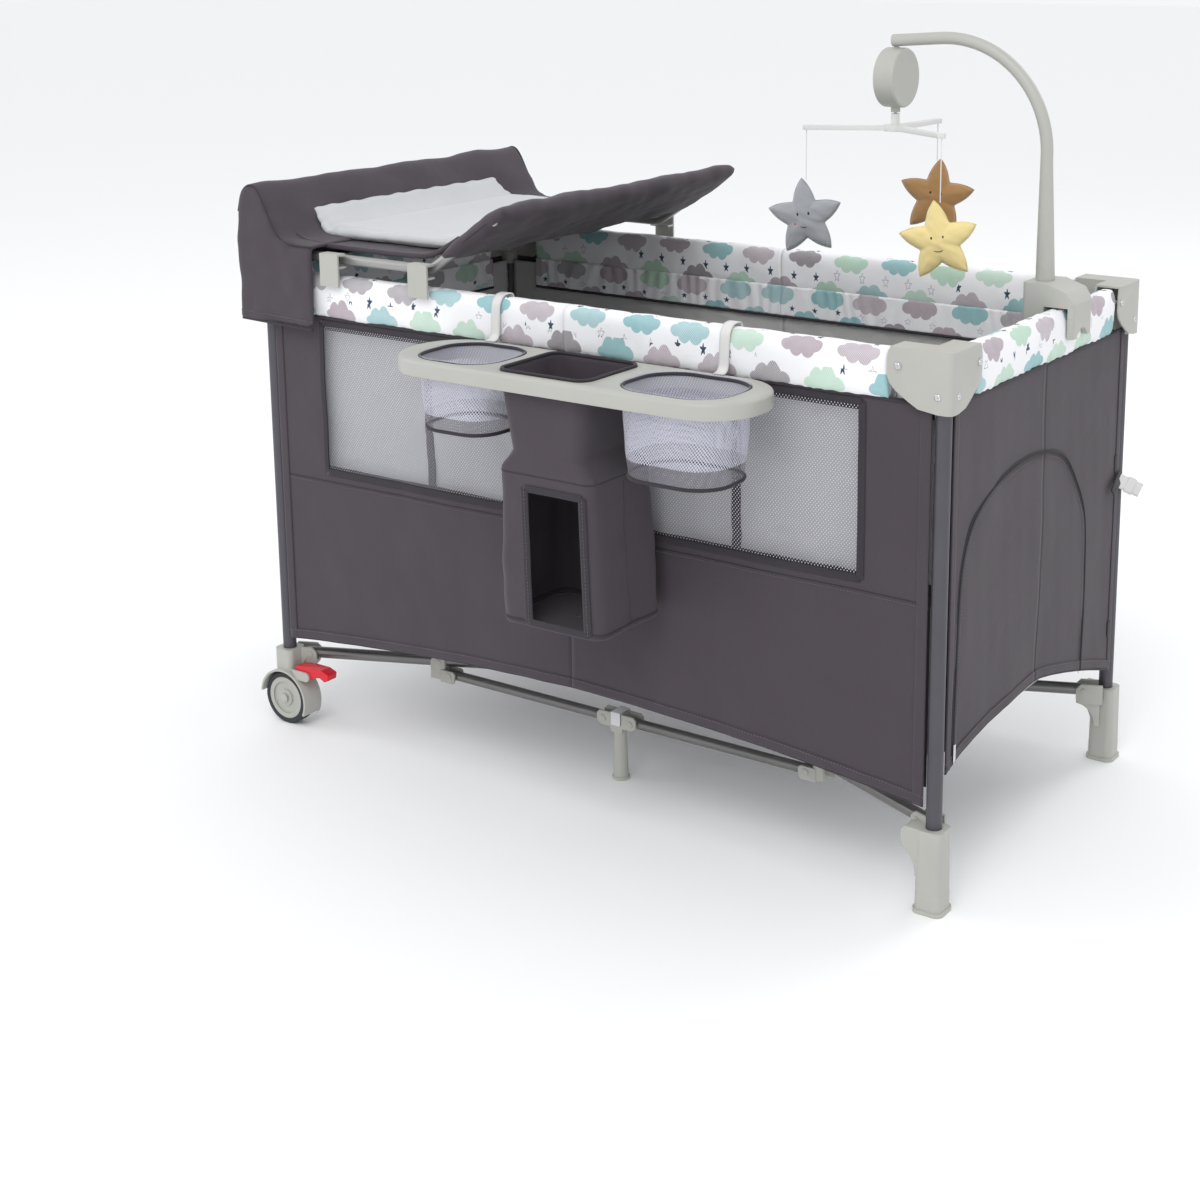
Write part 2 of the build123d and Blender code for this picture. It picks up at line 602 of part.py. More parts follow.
# Bent tube frame, front and rear runs joined by a tube along each wing top,
# with four plastic hooks that hang it on the side rails
with BuildPart() as changer_frame:
    for y in (-POST_Y, POST_Y):
        with BuildLine(Plane(origin=(0, y, 0), x_dir=(1, 0, 0), z_dir=(0, -1, 0))) as run:
            FilletPolyline(*sling_path, radius=34)
        with BuildSketch(Plane(origin=run.line @ 0, z_dir=run.line % 0)):
            Circle(SLING_R)
        sweep(path=run.line)
    for x, z in (sling_path[0], sling_path[-1]):
        rod((x, -POST_Y - SLING_R, z), (0, 1, 0), 2 * (POST_Y + SLING_R), SLING_R)
    for x in (-449, -267):
        for sy in (-1, 1):
            slab(x - 19, x + 19, sy * 327.0, sy * 330.5, HOOK_LOW, 814)
            slab(x - 19, x + 19, sy * 312.0, sy * 330.5, 812.4, 815.5)
            slab(x - 19, x + 19, sy * 311.4, sy * 327.0, 792.5, 795.5)
save(changer_frame.part, "changer_frame")

# Fabric sling: valley with a raised wing each side, draped over the caster end
with BuildPart() as changer_cover:
    with BuildSketch(Plane.XZ):
        with BuildLine():
            Polyline(
                (-640, 700), (-636, 700), (-634, 868), (-624, 894), (-610, 899.5), (-600, 896), (-556, 820),
                (-545, 813.5), (-272, 813.5), (-262, 816), (-140, 899), (-120, 899), (-114, 904), (-124, 916),
                (-150, 916), (-272, 832), (-284, 825), (-536, 825), (-548, 830), (-592, 906), (-606, 912),
                (-628, 904), (-638, 874), (-640, 700),
            )
        make_face()
    extrude(amount=291, both=True)
    for sy in (-1, 1):
        with BuildSketch(Plane.XZ.offset(-sy * 313)):
            with BuildLine():
                Polyline(
                    (-640, 700), (-636, 700), (-634, 868), (-624, 896), (-610, 902), (-598, 898),
                    (-552, 820), (-544, 816.5), (-486, 816.5), (-486, 823), (-540, 823), (-548, 830),
                    (-592, 906), (-606, 912), (-628, 904), (-638, 874), (-640, 700),
                )
            make_face()
        extrude(amount=22.2, both=True)
        with BuildSketch(Plane.XZ.offset(-sy * 333.2)):
            with BuildLine():
                Polyline(
                    (-640, 692), (-486, 692), (-486, 823), (-540, 823), (-548, 830), (-592, 906),
                    (-606, 912), (-628, 904), (-638, 874), (-640, 692),
                )
            make_face()
        extrude(amount=2.0, both=True)
    slab(-640, -636.5, -335, 335, 692, 705)
save(changer_cover.part, "changer_cover")

# Quilted pad lying in the sling
with BuildPart() as changer_pad:
    with BuildSketch(Plane.XZ):
        with BuildLine():
            Polyline(
                (-572, 874), (-547, 832), (-536, 826), (-285, 826), (-272, 833), (-214, 873), (-218, 880),
                (-276, 842), (-287, 836), (-534, 836), (-543, 840), (-565, 878), close=True,
            )
        make_face()
    extrude(amount=252, both=True)
save(changer_pad.part, "changer_pad")


# ================================ organizer ================================

BINS = {"left": (-95, 142, 52), "middle": (78, 156, 22), "right": (274, 172, 56)}
BIN_Y = -409.0
BIN_W = 138.0
STACK_TOP = 590.0
STACK_LOW = 350.0
STRAP_X = (-122, 279)

# Tray ring with three compartments
with BuildPart() as tray:
    with BuildSketch(Plane.XY.offset(TRAY_Z)):
        with Locations((TRAY_X, TRAY_Y)):
            RectangleRounded(600, 168, 78)
        for x, width, radius in BINS.values():
            with Locations((x, BIN_Y)):
                RectangleRounded(width, BIN_W, radius, mode=Mode.SUBTRACT)
    extrude(amount=TRAY_T)
    fillet(tray.faces().sort_by(Axis.Z)[-1].outer_wire().edges(), radius=6.0)
save(tray.part, "organizer_tray")


def hollow_taper(x, y, top, bottom, z_top, z_bottom, wall):
    """Open-topped tapered basket with a floor."""
    for inset, drop, mode in ((0.0, 0.0, Mode.ADD), (wall, wall, Mode.SUBTRACT)):
        with BuildSketch(Plane.XY.offset(z_top + inset)) as rim:
            with Locations((x, y)):
                RectangleRounded(top[0] - 2 * inset, top[1] - 2 * inset, top[2] - inset)
        with BuildSketch(Plane.XY.offset(z_bottom + drop)) as base:
            with Locations((x, y)):
                RectangleRounded(bottom[0] - 2 * inset, bottom[1] - 2 * inset, bottom[2] - inset)
        loft(sections=[base.sketch.face(), rim.sketch.face()], mode=mode)


# Mesh baskets in the two outer compartments
with BuildPart() as baskets:
    hollow_taper(BINS["left"][0], BIN_Y, (141, 137, 51.5), (128, 120, 46), BIN_TOP, 608, 2.0)
    hollow_taper(BINS["right"][0], BIN_Y, (171, 137, 55.5), (156, 122, 50), BIN_TOP, 588, 2.0)
save(baskets.part, "organizer_baskets")

# Fabric stacker: open bin at the top, closed box below with a front window
with BuildPart() as stacker:
    hollow_taper(BINS["middle"][0], BIN_Y, (155, 137, 21), (126, 120, 18), BIN_TOP, STACK_TOP - 2, 3.0)
    for inset, z_low, z_high, mode in (
        (0.0, STACK_LOW, STACK_TOP, Mode.ADD), (3.0, STACK_LOW + 3, STACK_TOP - 4, Mode.SUBTRACT),
    ):
        with BuildSketch(Plane.XY.offset(z_high)) as head:
            with Locations((82, -404)):
                RectangleRounded(166 - 2 * inset, 146 - 2 * inset, 14 - inset)
        with BuildSketch(Plane.XY.offset(z_low)) as base:
            with Locations((88, -404)):
                RectangleRounded(184 - 2 * inset, 150 - 2 * inset, 24 - inset)
        loft(sections=[base.sketch.face(), head.sketch.face()], mode=mode)
    slab(50, 150, -540, -455, 356, 556, Mode.SUBTRACT)
save(stacker.part, "diaper_stacker")

# Two hook straps that hang the tray on the front rails
with BuildPart() as straps:
    tab = TRAY_Z + TRAY_T + 0.4
    for x in STRAP_X:
        slab(x - 9, x + 9, -339.5, -322.5, tab, tab + 3)
        slab(x - 9, x + 9, -324.6, -322.5, tab, 786)
        slab(x - 9, x + 9, -324.6, -290, 783, 786)
save(straps.part, "organizer_straps")


# ================================ mobile ================================

# Saddle clamp over the end rail, with a boss for the mast
with BuildPart() as clamp:
    with BuildSketch(Plane.XZ.offset(-MAST_Y)):
        with BuildLine():
            Polyline(
                (550, 762), (584, 740), (584, 735), (630, 735),
                (630, 784), (618, 802), (588, 812), (550, 812), close=True,
            )
        make_face()
    extrude(amount=36, both=True)
    fillet(clamp.edges().filter_by(Axis.Z).filter_by(lambda e: abs(e.center().X - 590) > 35), radius=8.0)
    slab(584.5, 621.5, MAST_Y - 60, MAST_Y + 60, 700, 779.5, Mode.SUBTRACT)
    rod((0, MAST_Y, 728), (1, 0, 0), 700, 20, Mode.SUBTRACT)
save(clamp.part, "mobile_clamp")

# Tapered mast and curved arm ending over the yard
with BuildPart() as mast:
    with BuildSketch(Plane.XY.offset(812.3)) as mast_low:
        with Locations((MAST_X + 4, MAST_Y)):
            Circle(14.0)
    with BuildSketch(Plane.XY.offset(ARM_Z)) as mast_high:
        with Locations((MAST_X, MAST_Y)):
            Circle(9.0)
    loft(sections=[mast_low.sketch.face(), mast_high.sketch.face()])
    with BuildLine(Plane.XZ.offset(-MAST_Y)) as arc:
        riser = Line((MAST_X, ARM_Z + 0.3), (MAST_X, ARM_Z + 7.0))
        bend = JernArc(start=riser @ 1, tangent=riser % 1, radius=ARM_R, arc_size=94)
        Line(bend @ 1, bend @ 1 + (bend % 1) * (MAST_X - ARM_R - 5 - HANG_X))
    with BuildSketch(Plane(origin=arc.line @ 0, z_dir=arc.line % 0)):
        Circle(7.0)
    sweep(path=arc.line)
save(mast.part, "mobile_mast")

# Round music box hanging from the arm's tip
with BuildPart() as music:
    rod((HANG_X - 17, MAST_Y, 1092), (1, 0, 0), 34, 44)
    fillet(music.edges().filter_by(GeomType.CIRCLE), radius=4.0)
    rod((HANG_X, MAST_Y, 1132), (0, 0, 1), 5.2, 4.0)
    rod((HANG_X, MAST_Y, 1051), (0, 0, -1), 10, 7.0)
    rod((HANG_X, MAST_Y, 1045), (0, 0, -1), 16, 2.0)
save(music.part, "music_box")

ARM_ANGLES = (88, 208, 328)
ARM_REACH = 132.0

# Three-armed spider turning on the music box's spindle
with BuildPart() as spider:
    with BuildSketch(Plane.XY.offset(SPIDER_Z - 5)):
        with Locations((HANG_X, MAST_Y)):
            Circle(17.0)
    extrude(amount=9)
    rod((HANG_X, MAST_Y, SPIDER_Z + 3), (0, 0, 1), 18, 6.5)
    for angle in ARM_ANGLES:
        arm_way = Vector(1, 0, 0).rotate(Axis.Z, angle)
        with BuildSketch(Plane(origin=(HANG_X, MAST_Y, SPIDER_Z - 4), x_dir=arm_way, z_dir=(0, 0, 1))):
            with BuildLine():
                Polyline(
                    (8, -9), (ARM_REACH - 12, -5), (ARM_REACH, -7), (ARM_REACH + 6, 0),
                    (ARM_REACH, 7), (ARM_REACH - 12, 5), (8, 9), close=True,
                )
            make_face()
        extrude(amount=7)
    rod((HANG_X, MAST_Y, SPIDER_Z), (0, 0, 1), 40, 2.3, Mode.SUBTRACT)
save(spider.part, "mobile_spider")

STAR_DROP = {88: 58.0, 208: 76.0, 328: 92.0}
STAR_R = 62.0
STAR_T = 24.0


def arm_tip(angle):
    """Point under the end of a spider arm."""
    return (
        HANG_X + ARM_REACH * math.cos(math.radians(angle)),
        MAST_Y + ARM_REACH * math.sin(math.radians(angle)),
    )


# Three plush stars and the strings that hold them
with BuildPart() as stars:
    for angle in ARM_ANGLES:
        x, y = arm_tip(angle)
        top = SPIDER_Z - 4.3 - STAR_DROP[angle]
        facing = Plane(origin=(x, y, top - STAR_R - 0.3), x_dir=(0.866, 0.5, 0), z_dir=(0.5, -0.866, 0))
        tips = [Vector(0, STAR_R).rotate(Axis.Z, 72 * i) for i in range(5)]
        hollows = [Vector(0, STAR_R * 0.56).rotate(Axis.Z, 72 * i + 36) for i in range(5)]
        with BuildSketch(facing):
            with BuildLine():
                Polyline(*[point for pair in zip(tips, hollows) for point in pair], close=True)
            make_face()
        extrude(amount=STAR_T / 2, both=True)
save(stars.part, "plush_stars")

with BuildPart() as strings:
    for angle in ARM_ANGLES:
        x, y = arm_tip(angle)
        rod((x, y, SPIDER_Z - 4.3), (0, 0, -1), STAR_DROP[angle], 0.8)
save(strings.part, "mobile_strings")
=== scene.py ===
import math

import bmesh
import bpy
import numpy as np
from mathutils import Matrix, Vector


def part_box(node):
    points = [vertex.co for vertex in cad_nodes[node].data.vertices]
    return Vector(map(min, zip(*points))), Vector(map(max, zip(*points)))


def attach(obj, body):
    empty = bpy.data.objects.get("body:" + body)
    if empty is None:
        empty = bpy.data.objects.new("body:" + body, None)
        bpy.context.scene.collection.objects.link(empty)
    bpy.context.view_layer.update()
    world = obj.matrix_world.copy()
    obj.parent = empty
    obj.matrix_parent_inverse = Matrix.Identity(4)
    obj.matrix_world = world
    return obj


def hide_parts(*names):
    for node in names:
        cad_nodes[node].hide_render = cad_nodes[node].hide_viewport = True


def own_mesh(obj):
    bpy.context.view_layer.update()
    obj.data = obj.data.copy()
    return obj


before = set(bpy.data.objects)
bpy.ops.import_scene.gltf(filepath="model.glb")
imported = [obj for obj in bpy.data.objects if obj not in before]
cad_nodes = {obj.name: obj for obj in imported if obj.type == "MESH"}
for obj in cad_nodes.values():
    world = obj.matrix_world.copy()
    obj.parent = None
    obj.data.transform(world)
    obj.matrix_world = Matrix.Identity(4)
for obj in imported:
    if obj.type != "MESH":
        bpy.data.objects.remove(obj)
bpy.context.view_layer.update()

# Everything below is laid out in millimetres about the middle of the four posts,
# with +X towards the feet, -Y towards the organizer, and is moved into the row frame.
post_low, post_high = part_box("post_tube_front_left"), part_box("post_tube_rear_right")
CENTRE = (post_low[0] + post_low[1] + post_high[0] + post_high[1]) / 4
CENTRE.z = 0.0
POST_X = (post_high[1].x + post_high[0].x) * 500 - CENTRE.x * 1000
POST_Y = (post_high[1].y + post_high[0].y) * 500 - CENTRE.y * 1000
CORNERS = {
    "front_left": (-1, -1),
    "front_right": (1, -1),
    "rear_left": (-1, 1),
    "rear_right": (1, 1),
}
TAU = 2 * math.pi


def at(x, y, z):
    """A point of the yard's own millimetres, in the row frame's metres."""
    return Vector((x / 1000 + CENTRE.x, y / 1000 + CENTRE.y, z / 1000))


def local_box(node):
    """A CAD node's corners in the yard's own millimetres."""
    low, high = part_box(node)
    return (low - CENTRE) * 1000, (high - CENTRE) * 1000


# ================================ camera and stage ================================

scene = bpy.context.scene
scene.view_settings.view_transform = "Standard"


def make_camera():
    data = bpy.data.cameras.new("camera")
    data.sensor_width = 36.0
    data.lens = 58.62
    data.shift_x = -0.08
    data.shift_y = -0.20
    data.clip_end = 60
    camera = bpy.data.objects.new("camera", data)
    right = Vector((0.8330, 0.5533, -0.0026)).normalized()
    up = Vector((-0.1172, 0.1810, 0.9765))
    up = (up - right * up.dot(right)).normalized()
    back = right.cross(up)
    turn = Matrix((right, up, back)).transposed().to_4x4()
    camera.matrix_world = Matrix.Translation(at(1689, -2513, 1308)) @ turn
    scene.collection.objects.link(camera)
    scene.camera = camera


def make_light(name, place, target, size, power, colour=(1, 1, 1)):
    data = bpy.data.lights.new(name, "AREA")
    data.shape = "DISK"
    data.size = size
    data.energy = power
    data.color = colour
    lamp = bpy.data.objects.new(name, data)
    lamp.location = place
    lamp.rotation_euler = (Vector(target) - Vector(place)).to_track_quat("-Z", "Y").to_euler()
    scene.collection.objects.link(lamp)


def make_stage():
    world = bpy.data.worlds.new("studio")
    world.use_nodes = True
    back = world.node_tree.nodes["Background"]
    back.inputs["Color"].default_value = (0.97, 0.98, 1.0, 1)
    back.inputs["Strength"].default_value = 0.95
    scene.world = world
    make_light("key", (1.2, -3.6, 4.2), (0, 0, 0.3), 3.2, 85)
    make_light("fill", (-4.2, -2.0, 2.6), (0, 0, 0.4), 3.0, 30)
    make_light("rim", (1.5, 4.2, 3.4), (0, 0, 0.6), 2.6, 40)
    bpy.ops.mesh.primitive_plane_add(size=60, location=(0, 0, 0))
    floor = bpy.context.object
    floor.name = "floor"
    shade = bpy.data.materials.new("floor")
    shade.use_nodes = True
    base = shade.node_tree.nodes["Principled BSDF"]
    base.inputs["Base Color"].default_value = (0.96, 0.96, 0.96, 1)
    base.inputs["Roughness"].default_value = 0.75
    floor.data.materials.append(shade)


# ================================ materials ================================

class Shade:
    """Builds one node material with a few short calls."""

    def __init__(self, name):
        self.material = bpy.data.materials.new(name)
        self.material.use_nodes = True
        self.tree = self.material.node_tree
        self.base = self.tree.nodes["Principled BSDF"]
        self.out = self.tree.nodes["Material Output"]

    def node(self, kind, **values):
        made = self.tree.nodes.new("ShaderNode" + kind)
        for key, value in values.items():
            if hasattr(made, key):
                setattr(made, key, value)
            else:
                made.inputs[key].default_value = value
        return made

    def link(self, source, target):
        self.tree.links.new(source, target)

    def math(self, operation, *terms):
        made = self.tree.nodes.new("ShaderNodeMath")
        made.operation = operation
        for socket, term in zip(made.inputs, terms):
            self.feed(term, socket)
        return made.outputs[0]

    def feed(self, term, socket):
        if isinstance(term, (int, float)):
            socket.default_value = term
        elif isinstance(term, tuple):
            socket.default_value = (*term, 1)[: len(socket.default_value)]
        else:
            self.link(term, socket)

    def mix(self, share, low, high):
        made = self.tree.nodes.new("ShaderNodeMix")
        made.data_type = "RGBA"
        self.feed(share, made.inputs[0])
        self.feed(low, made.inputs[6])
        self.feed(high, made.inputs[7])
        return made.outputs[2]

    def noise(self, vector, scale, detail=3.0):
        made = self.tree.nodes.new("ShaderNodeTexNoise")
        made.inputs["Scale"].default_value = scale
        made.inputs["Detail"].default_value = detail
        self.link(vector, made.inputs["Vector"])
        return made.outputs[0]

    def ramp(self, value, low, high):
        """Smooth step of value from low to high."""
        made = self.tree.nodes.new("ShaderNodeMapRange")
        made.interpolation_type = "SMOOTHSTEP"
        self.link(value, made.inputs[0])
        made.inputs[1].default_value = low
        made.inputs[2].default_value = high
        return made.outputs[0]

    def place(self):
        return self.tree.nodes.new("ShaderNodeTexCoord").outputs["Object"]

    def bump(self, height, strength, distance, before=None):
        made = self.tree.nodes.new("ShaderNodeBump")
        made.inputs["Strength"].default_value = strength
        made.inputs["Distance"].default_value = distance
        self.link(height, made.inputs["Height"])
        if before:
            self.link(before, made.inputs["Normal"])
        return made.outputs[0]

    def set(self, **values):
        for key, value in values.items():
            self.base.inputs[key.replace("_", " ")].default_value = value


def weave(shade, vector, pitch):
    """Height of a plain weave with the given thread pitch in metres."""
    split = shade.tree.nodes.new("ShaderNodeSeparateXYZ")
    shade.link(vector, split.inputs[0])
    turns = TAU / pitch
    waves = [shade.math("SINE", shade.math("MULTIPLY", axis, turns)) for axis in split.outputs]
    return shade.math("MULTIPLY", shade.math("ADD", waves[0], waves[1]), waves[2])


def fabric(name, colour, pitch=0.0011, sheen=0.25, variation=0.10, rough=0.82, crease=0.25):
    shade = Shade(name)
    place = shade.place()
    cloudy = shade.noise(place, 9.0)
    fine = shade.noise(place, 420.0, 2.0)
    dark = tuple(c * (1 - variation) for c in colour)
    light = tuple(min(1, c * (1 + variation)) for c in colour)
    tone = shade.mix(cloudy, dark, light)
    tone = shade.mix(shade.math("MULTIPLY", fine, 0.22), tone, tuple(c * 0.62 for c in colour))
    shade.link(tone, shade.base.inputs["Base Color"])
    shade.link(
        shade.math("ADD", shade.math("MULTIPLY", fine, 0.12), rough - 0.06), shade.base.inputs["Roughness"]
    )
    threads = shade.bump(weave(shade, place, pitch), 0.35, 0.0002)
    folds = shade.bump(shade.noise(place, 26.0, 2.0), crease, 0.004, threads)
    shade.link(folds, shade.base.inputs["Normal"])
    shade.set(Sheen_Weight=sheen, Sheen_Roughness=0.5, Specular_IOR_Level=0.35)
    return shade.material


def plastic(name, colour, rough=0.42, grain=0.12, speckle=700.0):
    shade = Shade(name)
    place = shade.place()
    broad = shade.noise(place, 14.0, 2.0)
    fine = shade.noise(place, speckle, 1.0)
    tone = shade.mix(broad, tuple(c * 0.95 for c in colour), tuple(min(1, c * 1.04) for c in colour))
    shade.link(tone, shade.base.inputs["Base Color"])
    shade.link(
        shade.math("ADD", shade.math("MULTIPLY", broad, 0.14), rough - 0.07), shade.base.inputs["Roughness"]
    )
    shade.link(shade.bump(fine, grain, 0.0002), shade.base.inputs["Normal"])
    shade.set(Specular_IOR_Level=0.5)
    return shade.material


def metal(name, colour, metallic=0.75, rough=0.34):
    shade = Shade(name)
    place = shade.place()
    broad = shade.noise(place, 22.0, 3.0)
    tone = shade.mix(broad, tuple(c * 0.86 for c in colour), tuple(min(1, c * 1.12) for c in colour))
    shade.link(tone, shade.base.inputs["Base Color"])
    shade.link(
        shade.math("ADD", shade.math("MULTIPLY", broad, 0.16), rough - 0.08), shade.base.inputs["Roughness"]
    )
    shade.link(shade.bump(shade.noise(place, 900.0, 2.0), 0.06, 0.0002), shade.base.inputs["Normal"])
    shade.set(Metallic=metallic)
    return shade.material


def rubber(name, colour):
    shade = Shade(name)
    place = shade.place()
    grain = shade.noise(place, 500.0, 3.0)
    tone = shade.mix(grain, tuple(c * 0.8 for c in colour), tuple(c * 1.3 for c in colour))
    shade.link(tone, shade.base.inputs["Base Color"])
    shade.link(shade.bump(grain, 0.2, 0.0003), shade.base.inputs["Normal"])
    shade.set(Roughness=0.68)
    return shade.material


def net(name, thread, pitch=0.0042, hole=0.36, solid=0.0):
    """Knitted mesh: rows of round holes on a triangular pitch, cut out of bright threads."""
    shade = Shade(name)
    uv = shade.tree.nodes.new("ShaderNodeUVMap").outputs[0]
    split = shade.tree.nodes.new("ShaderNodeSeparateXYZ")
    shade.link(uv, split.inputs[0])
    nearest = None
    for shift in (0.0, 0.5):
        u = shade.math("ADD", shade.math("DIVIDE", split.outputs[0], pitch), shift)
        v = shade.math("ADD", shade.math("DIVIDE", split.outputs[1], pitch * 1.2), shift)
        du = shade.math("SUBTRACT", shade.math("FRACT", u), 0.5)
        dv = shade.math("SUBTRACT", shade.math("FRACT", v), 0.5)
        reach = shade.math("SQRT", shade.math("ADD", shade.math("POWER", du, 2), shade.math("POWER", dv, 2)))
        nearest = reach if nearest is None else shade.math("MINIMUM", nearest, reach)
    thread_mask = shade.ramp(nearest, hole - 0.07, hole + 0.03)
    thread_mask = shade.math("MAXIMUM", thread_mask, solid)
    broad = shade.noise(uv, 30.0, 2.0)
    tone = shade.mix(broad, tuple(c * 0.9 for c in thread), tuple(min(1, c * 1.06) for c in thread))
    shade.link(tone, shade.base.inputs["Base Color"])
    shade.link(thread_mask, shade.base.inputs["Alpha"])
    shade.link(shade.bump(nearest, 0.5, 0.0006), shade.base.inputs["Normal"])
    shade.set(Roughness=0.7, Sheen_Weight=0.2)
    return shade.material


CLOUD_CELL = (0.088, 0.046)
CLOUD_DISCS = (
    (-0.022, -0.001, 0.010), (-0.011, 0.007, 0.012), (0.006, 0.009, 0.0125),
    (0.020, 0.001, 0.0115), (-0.008, -0.006, 0.011), (0.010, -0.006, 0.0115),
)
CLOUD_COLOURS = ((0.40, 0.33, 0.37), (0.27, 0.245, 0.265), (0.24, 0.48, 0.50), (0.44, 0.64, 0.50))
NAVY = (0.02, 0.055, 0.10)


def cloud_print(name):
    """White cotton printed with puffy clouds, little filled stars and outlined stars."""
    shade = Shade(name)
    uv = shade.tree.nodes.new("ShaderNodeUVMap").outputs[0]
    split = shade.tree.nodes.new("ShaderNodeSeparateXYZ")
    shade.link(uv, split.inputs[0])
    ground = (0.86, 0.86, 0.88)

    def cell(width, height, drift, seed, rise=0.0):
        """Position inside a brick-laid cell, and three random numbers that belong to it."""
        level = shade.math("ADD", shade.math("DIVIDE", split.outputs[1], height), rise)
        row = shade.math("FLOOR", level)
        across = shade.math(
            "ADD", shade.math("DIVIDE", split.outputs[0], width), shade.math("MULTIPLY", row, drift)
        )
        column = shade.math("FLOOR", across)
        pair = shade.tree.nodes.new("ShaderNodeCombineXYZ")
        shade.link(column, pair.inputs[0])
        shade.link(row, pair.inputs[1])
        pair.inputs[2].default_value = seed
        dice = shade.tree.nodes.new("ShaderNodeTexWhiteNoise")
        shade.link(pair.outputs[0], dice.inputs["Vector"])
        rolls = shade.tree.nodes.new("ShaderNodeSeparateColor")
        shade.link(dice.outputs["Color"], rolls.inputs[0])
        x = shade.math("MULTIPLY", shade.math("SUBTRACT", shade.math("FRACT", across), 0.5), width)
        v = shade.math("FRACT", level)
        y = shade.math("MULTIPLY", shade.math("SUBTRACT", v, 0.5), height)
        x = shade.math(
            "ADD", x, shade.math("MULTIPLY", shade.math("SUBTRACT", rolls.outputs[0], 0.5), width * 0.16)
        )
        y = shade.math(
            "ADD", y, shade.math("MULTIPLY", shade.math("SUBTRACT", rolls.outputs[1], 0.5), height * 0.14)
        )
        return x, y, rolls

    def disc(x, y, cx, cy, radius):
        dx = shade.math("POWER", shade.math("SUBTRACT", x, cx), 2)
        dy = shade.math("POWER", shade.math("SUBTRACT", y, cy), 2)
        return shade.math("SUBTRACT", radius, shade.math("SQRT", shade.math("ADD", dx, dy)))

    def star(x, y, size):
        """Signed distance-like field of a five-pointed star, positive inside."""
        angle = shade.math("ADD", shade.math("ARCTAN2", y, x), math.pi * 1.9)
        part = shade.math("FRACT", shade.math("DIVIDE", angle, TAU / 5))
        fold = shade.math("ABSOLUTE", shade.math("SUBTRACT", part, 0.5))
        edge = shade.math(
            "ADD", size * 0.45,
            shade.math("MULTIPLY", shade.math("POWER", shade.math("MULTIPLY", fold, 2), 1.7), size * 0.62)
        )
        reach = shade.math("SQRT", shade.math("ADD", shade.math("POWER", x, 2), shade.math("POWER", y, 2)))
        return shade.math("SUBTRACT", edge, reach)

    x, y, rolls = cell(*CLOUD_CELL, 0.5, 3.0)
    inside = None
    for cx, cy, radius in CLOUD_DISCS:
        lobe = disc(x, y, cx, cy, radius)
        inside = lobe if inside is None else shade.math("MAXIMUM", inside, lobe)
    cloud = shade.ramp(inside, -0.0003, 0.0005)
    pick = rolls.outputs[2]
    colour = CLOUD_COLOURS[0]
    for level, other in zip((0.28, 0.46, 0.74), CLOUD_COLOURS[1:]):
        colour = shade.mix(shade.math("GREATER_THAN", pick, level), colour, other)
    stripe = shade.math("SINE", shade.math("MULTIPLY", shade.math("ADD", x, y), TAU / 0.0034))
    hatched = shade.math("GREATER_THAN", rolls.outputs[0], 0.5)
    stripes = shade.math("MULTIPLY", hatched, shade.math("MULTIPLY", shade.ramp(stripe, 0.2, 0.7), 0.4))
    wash = shade.math("ADD", shade.math("MULTIPLY", shade.noise(uv, 60.0, 3.0), 0.22), stripes)
    colour = shade.mix(wash, colour, ground)
    tone = shade.mix(cloud, ground, colour)

    sx, sy, star_rolls = cell(CLOUD_CELL[0] * 0.5, CLOUD_CELL[1], 1.0, 11.0, 0.5)
    field = star(sx, sy, 0.0055)
    clear = shade.math("SUBTRACT", 1.0, shade.ramp(inside, -0.0025, -0.0015))
    filled = shade.math(
        "MULTIPLY", shade.math("GREATER_THAN", star_rolls.outputs[2], 0.50),
        shade.ramp(field, -0.0002, 0.0003)
    )
    ring = shade.math("SUBTRACT", shade.ramp(field, -0.0006, -0.0001), shade.ramp(field, 0.0001, 0.0006))
    ring = shade.math("MULTIPLY", ring, shade.math("LESS_THAN", star_rolls.outputs[2], 0.25))
    tone = shade.mix(shade.math("MULTIPLY", clear, shade.math("MAXIMUM", filled, ring)), tone, NAVY)
    shade.link(tone, shade.base.inputs["Base Color"])
    place = shade.place()
    threads = shade.bump(weave(shade, place, 0.0009), 0.25, 0.0002)
    shade.link(shade.bump(shade.noise(place, 45.0, 3.0), 0.35, 0.003, threads), shade.base.inputs["Normal"])
    shade.set(Roughness=0.8, Sheen_Weight=0.15)
    return shade.material


DARK = (0.060, 0.049, 0.060)
LIGHT_PLASTIC = (0.42, 0.42, 0.385)


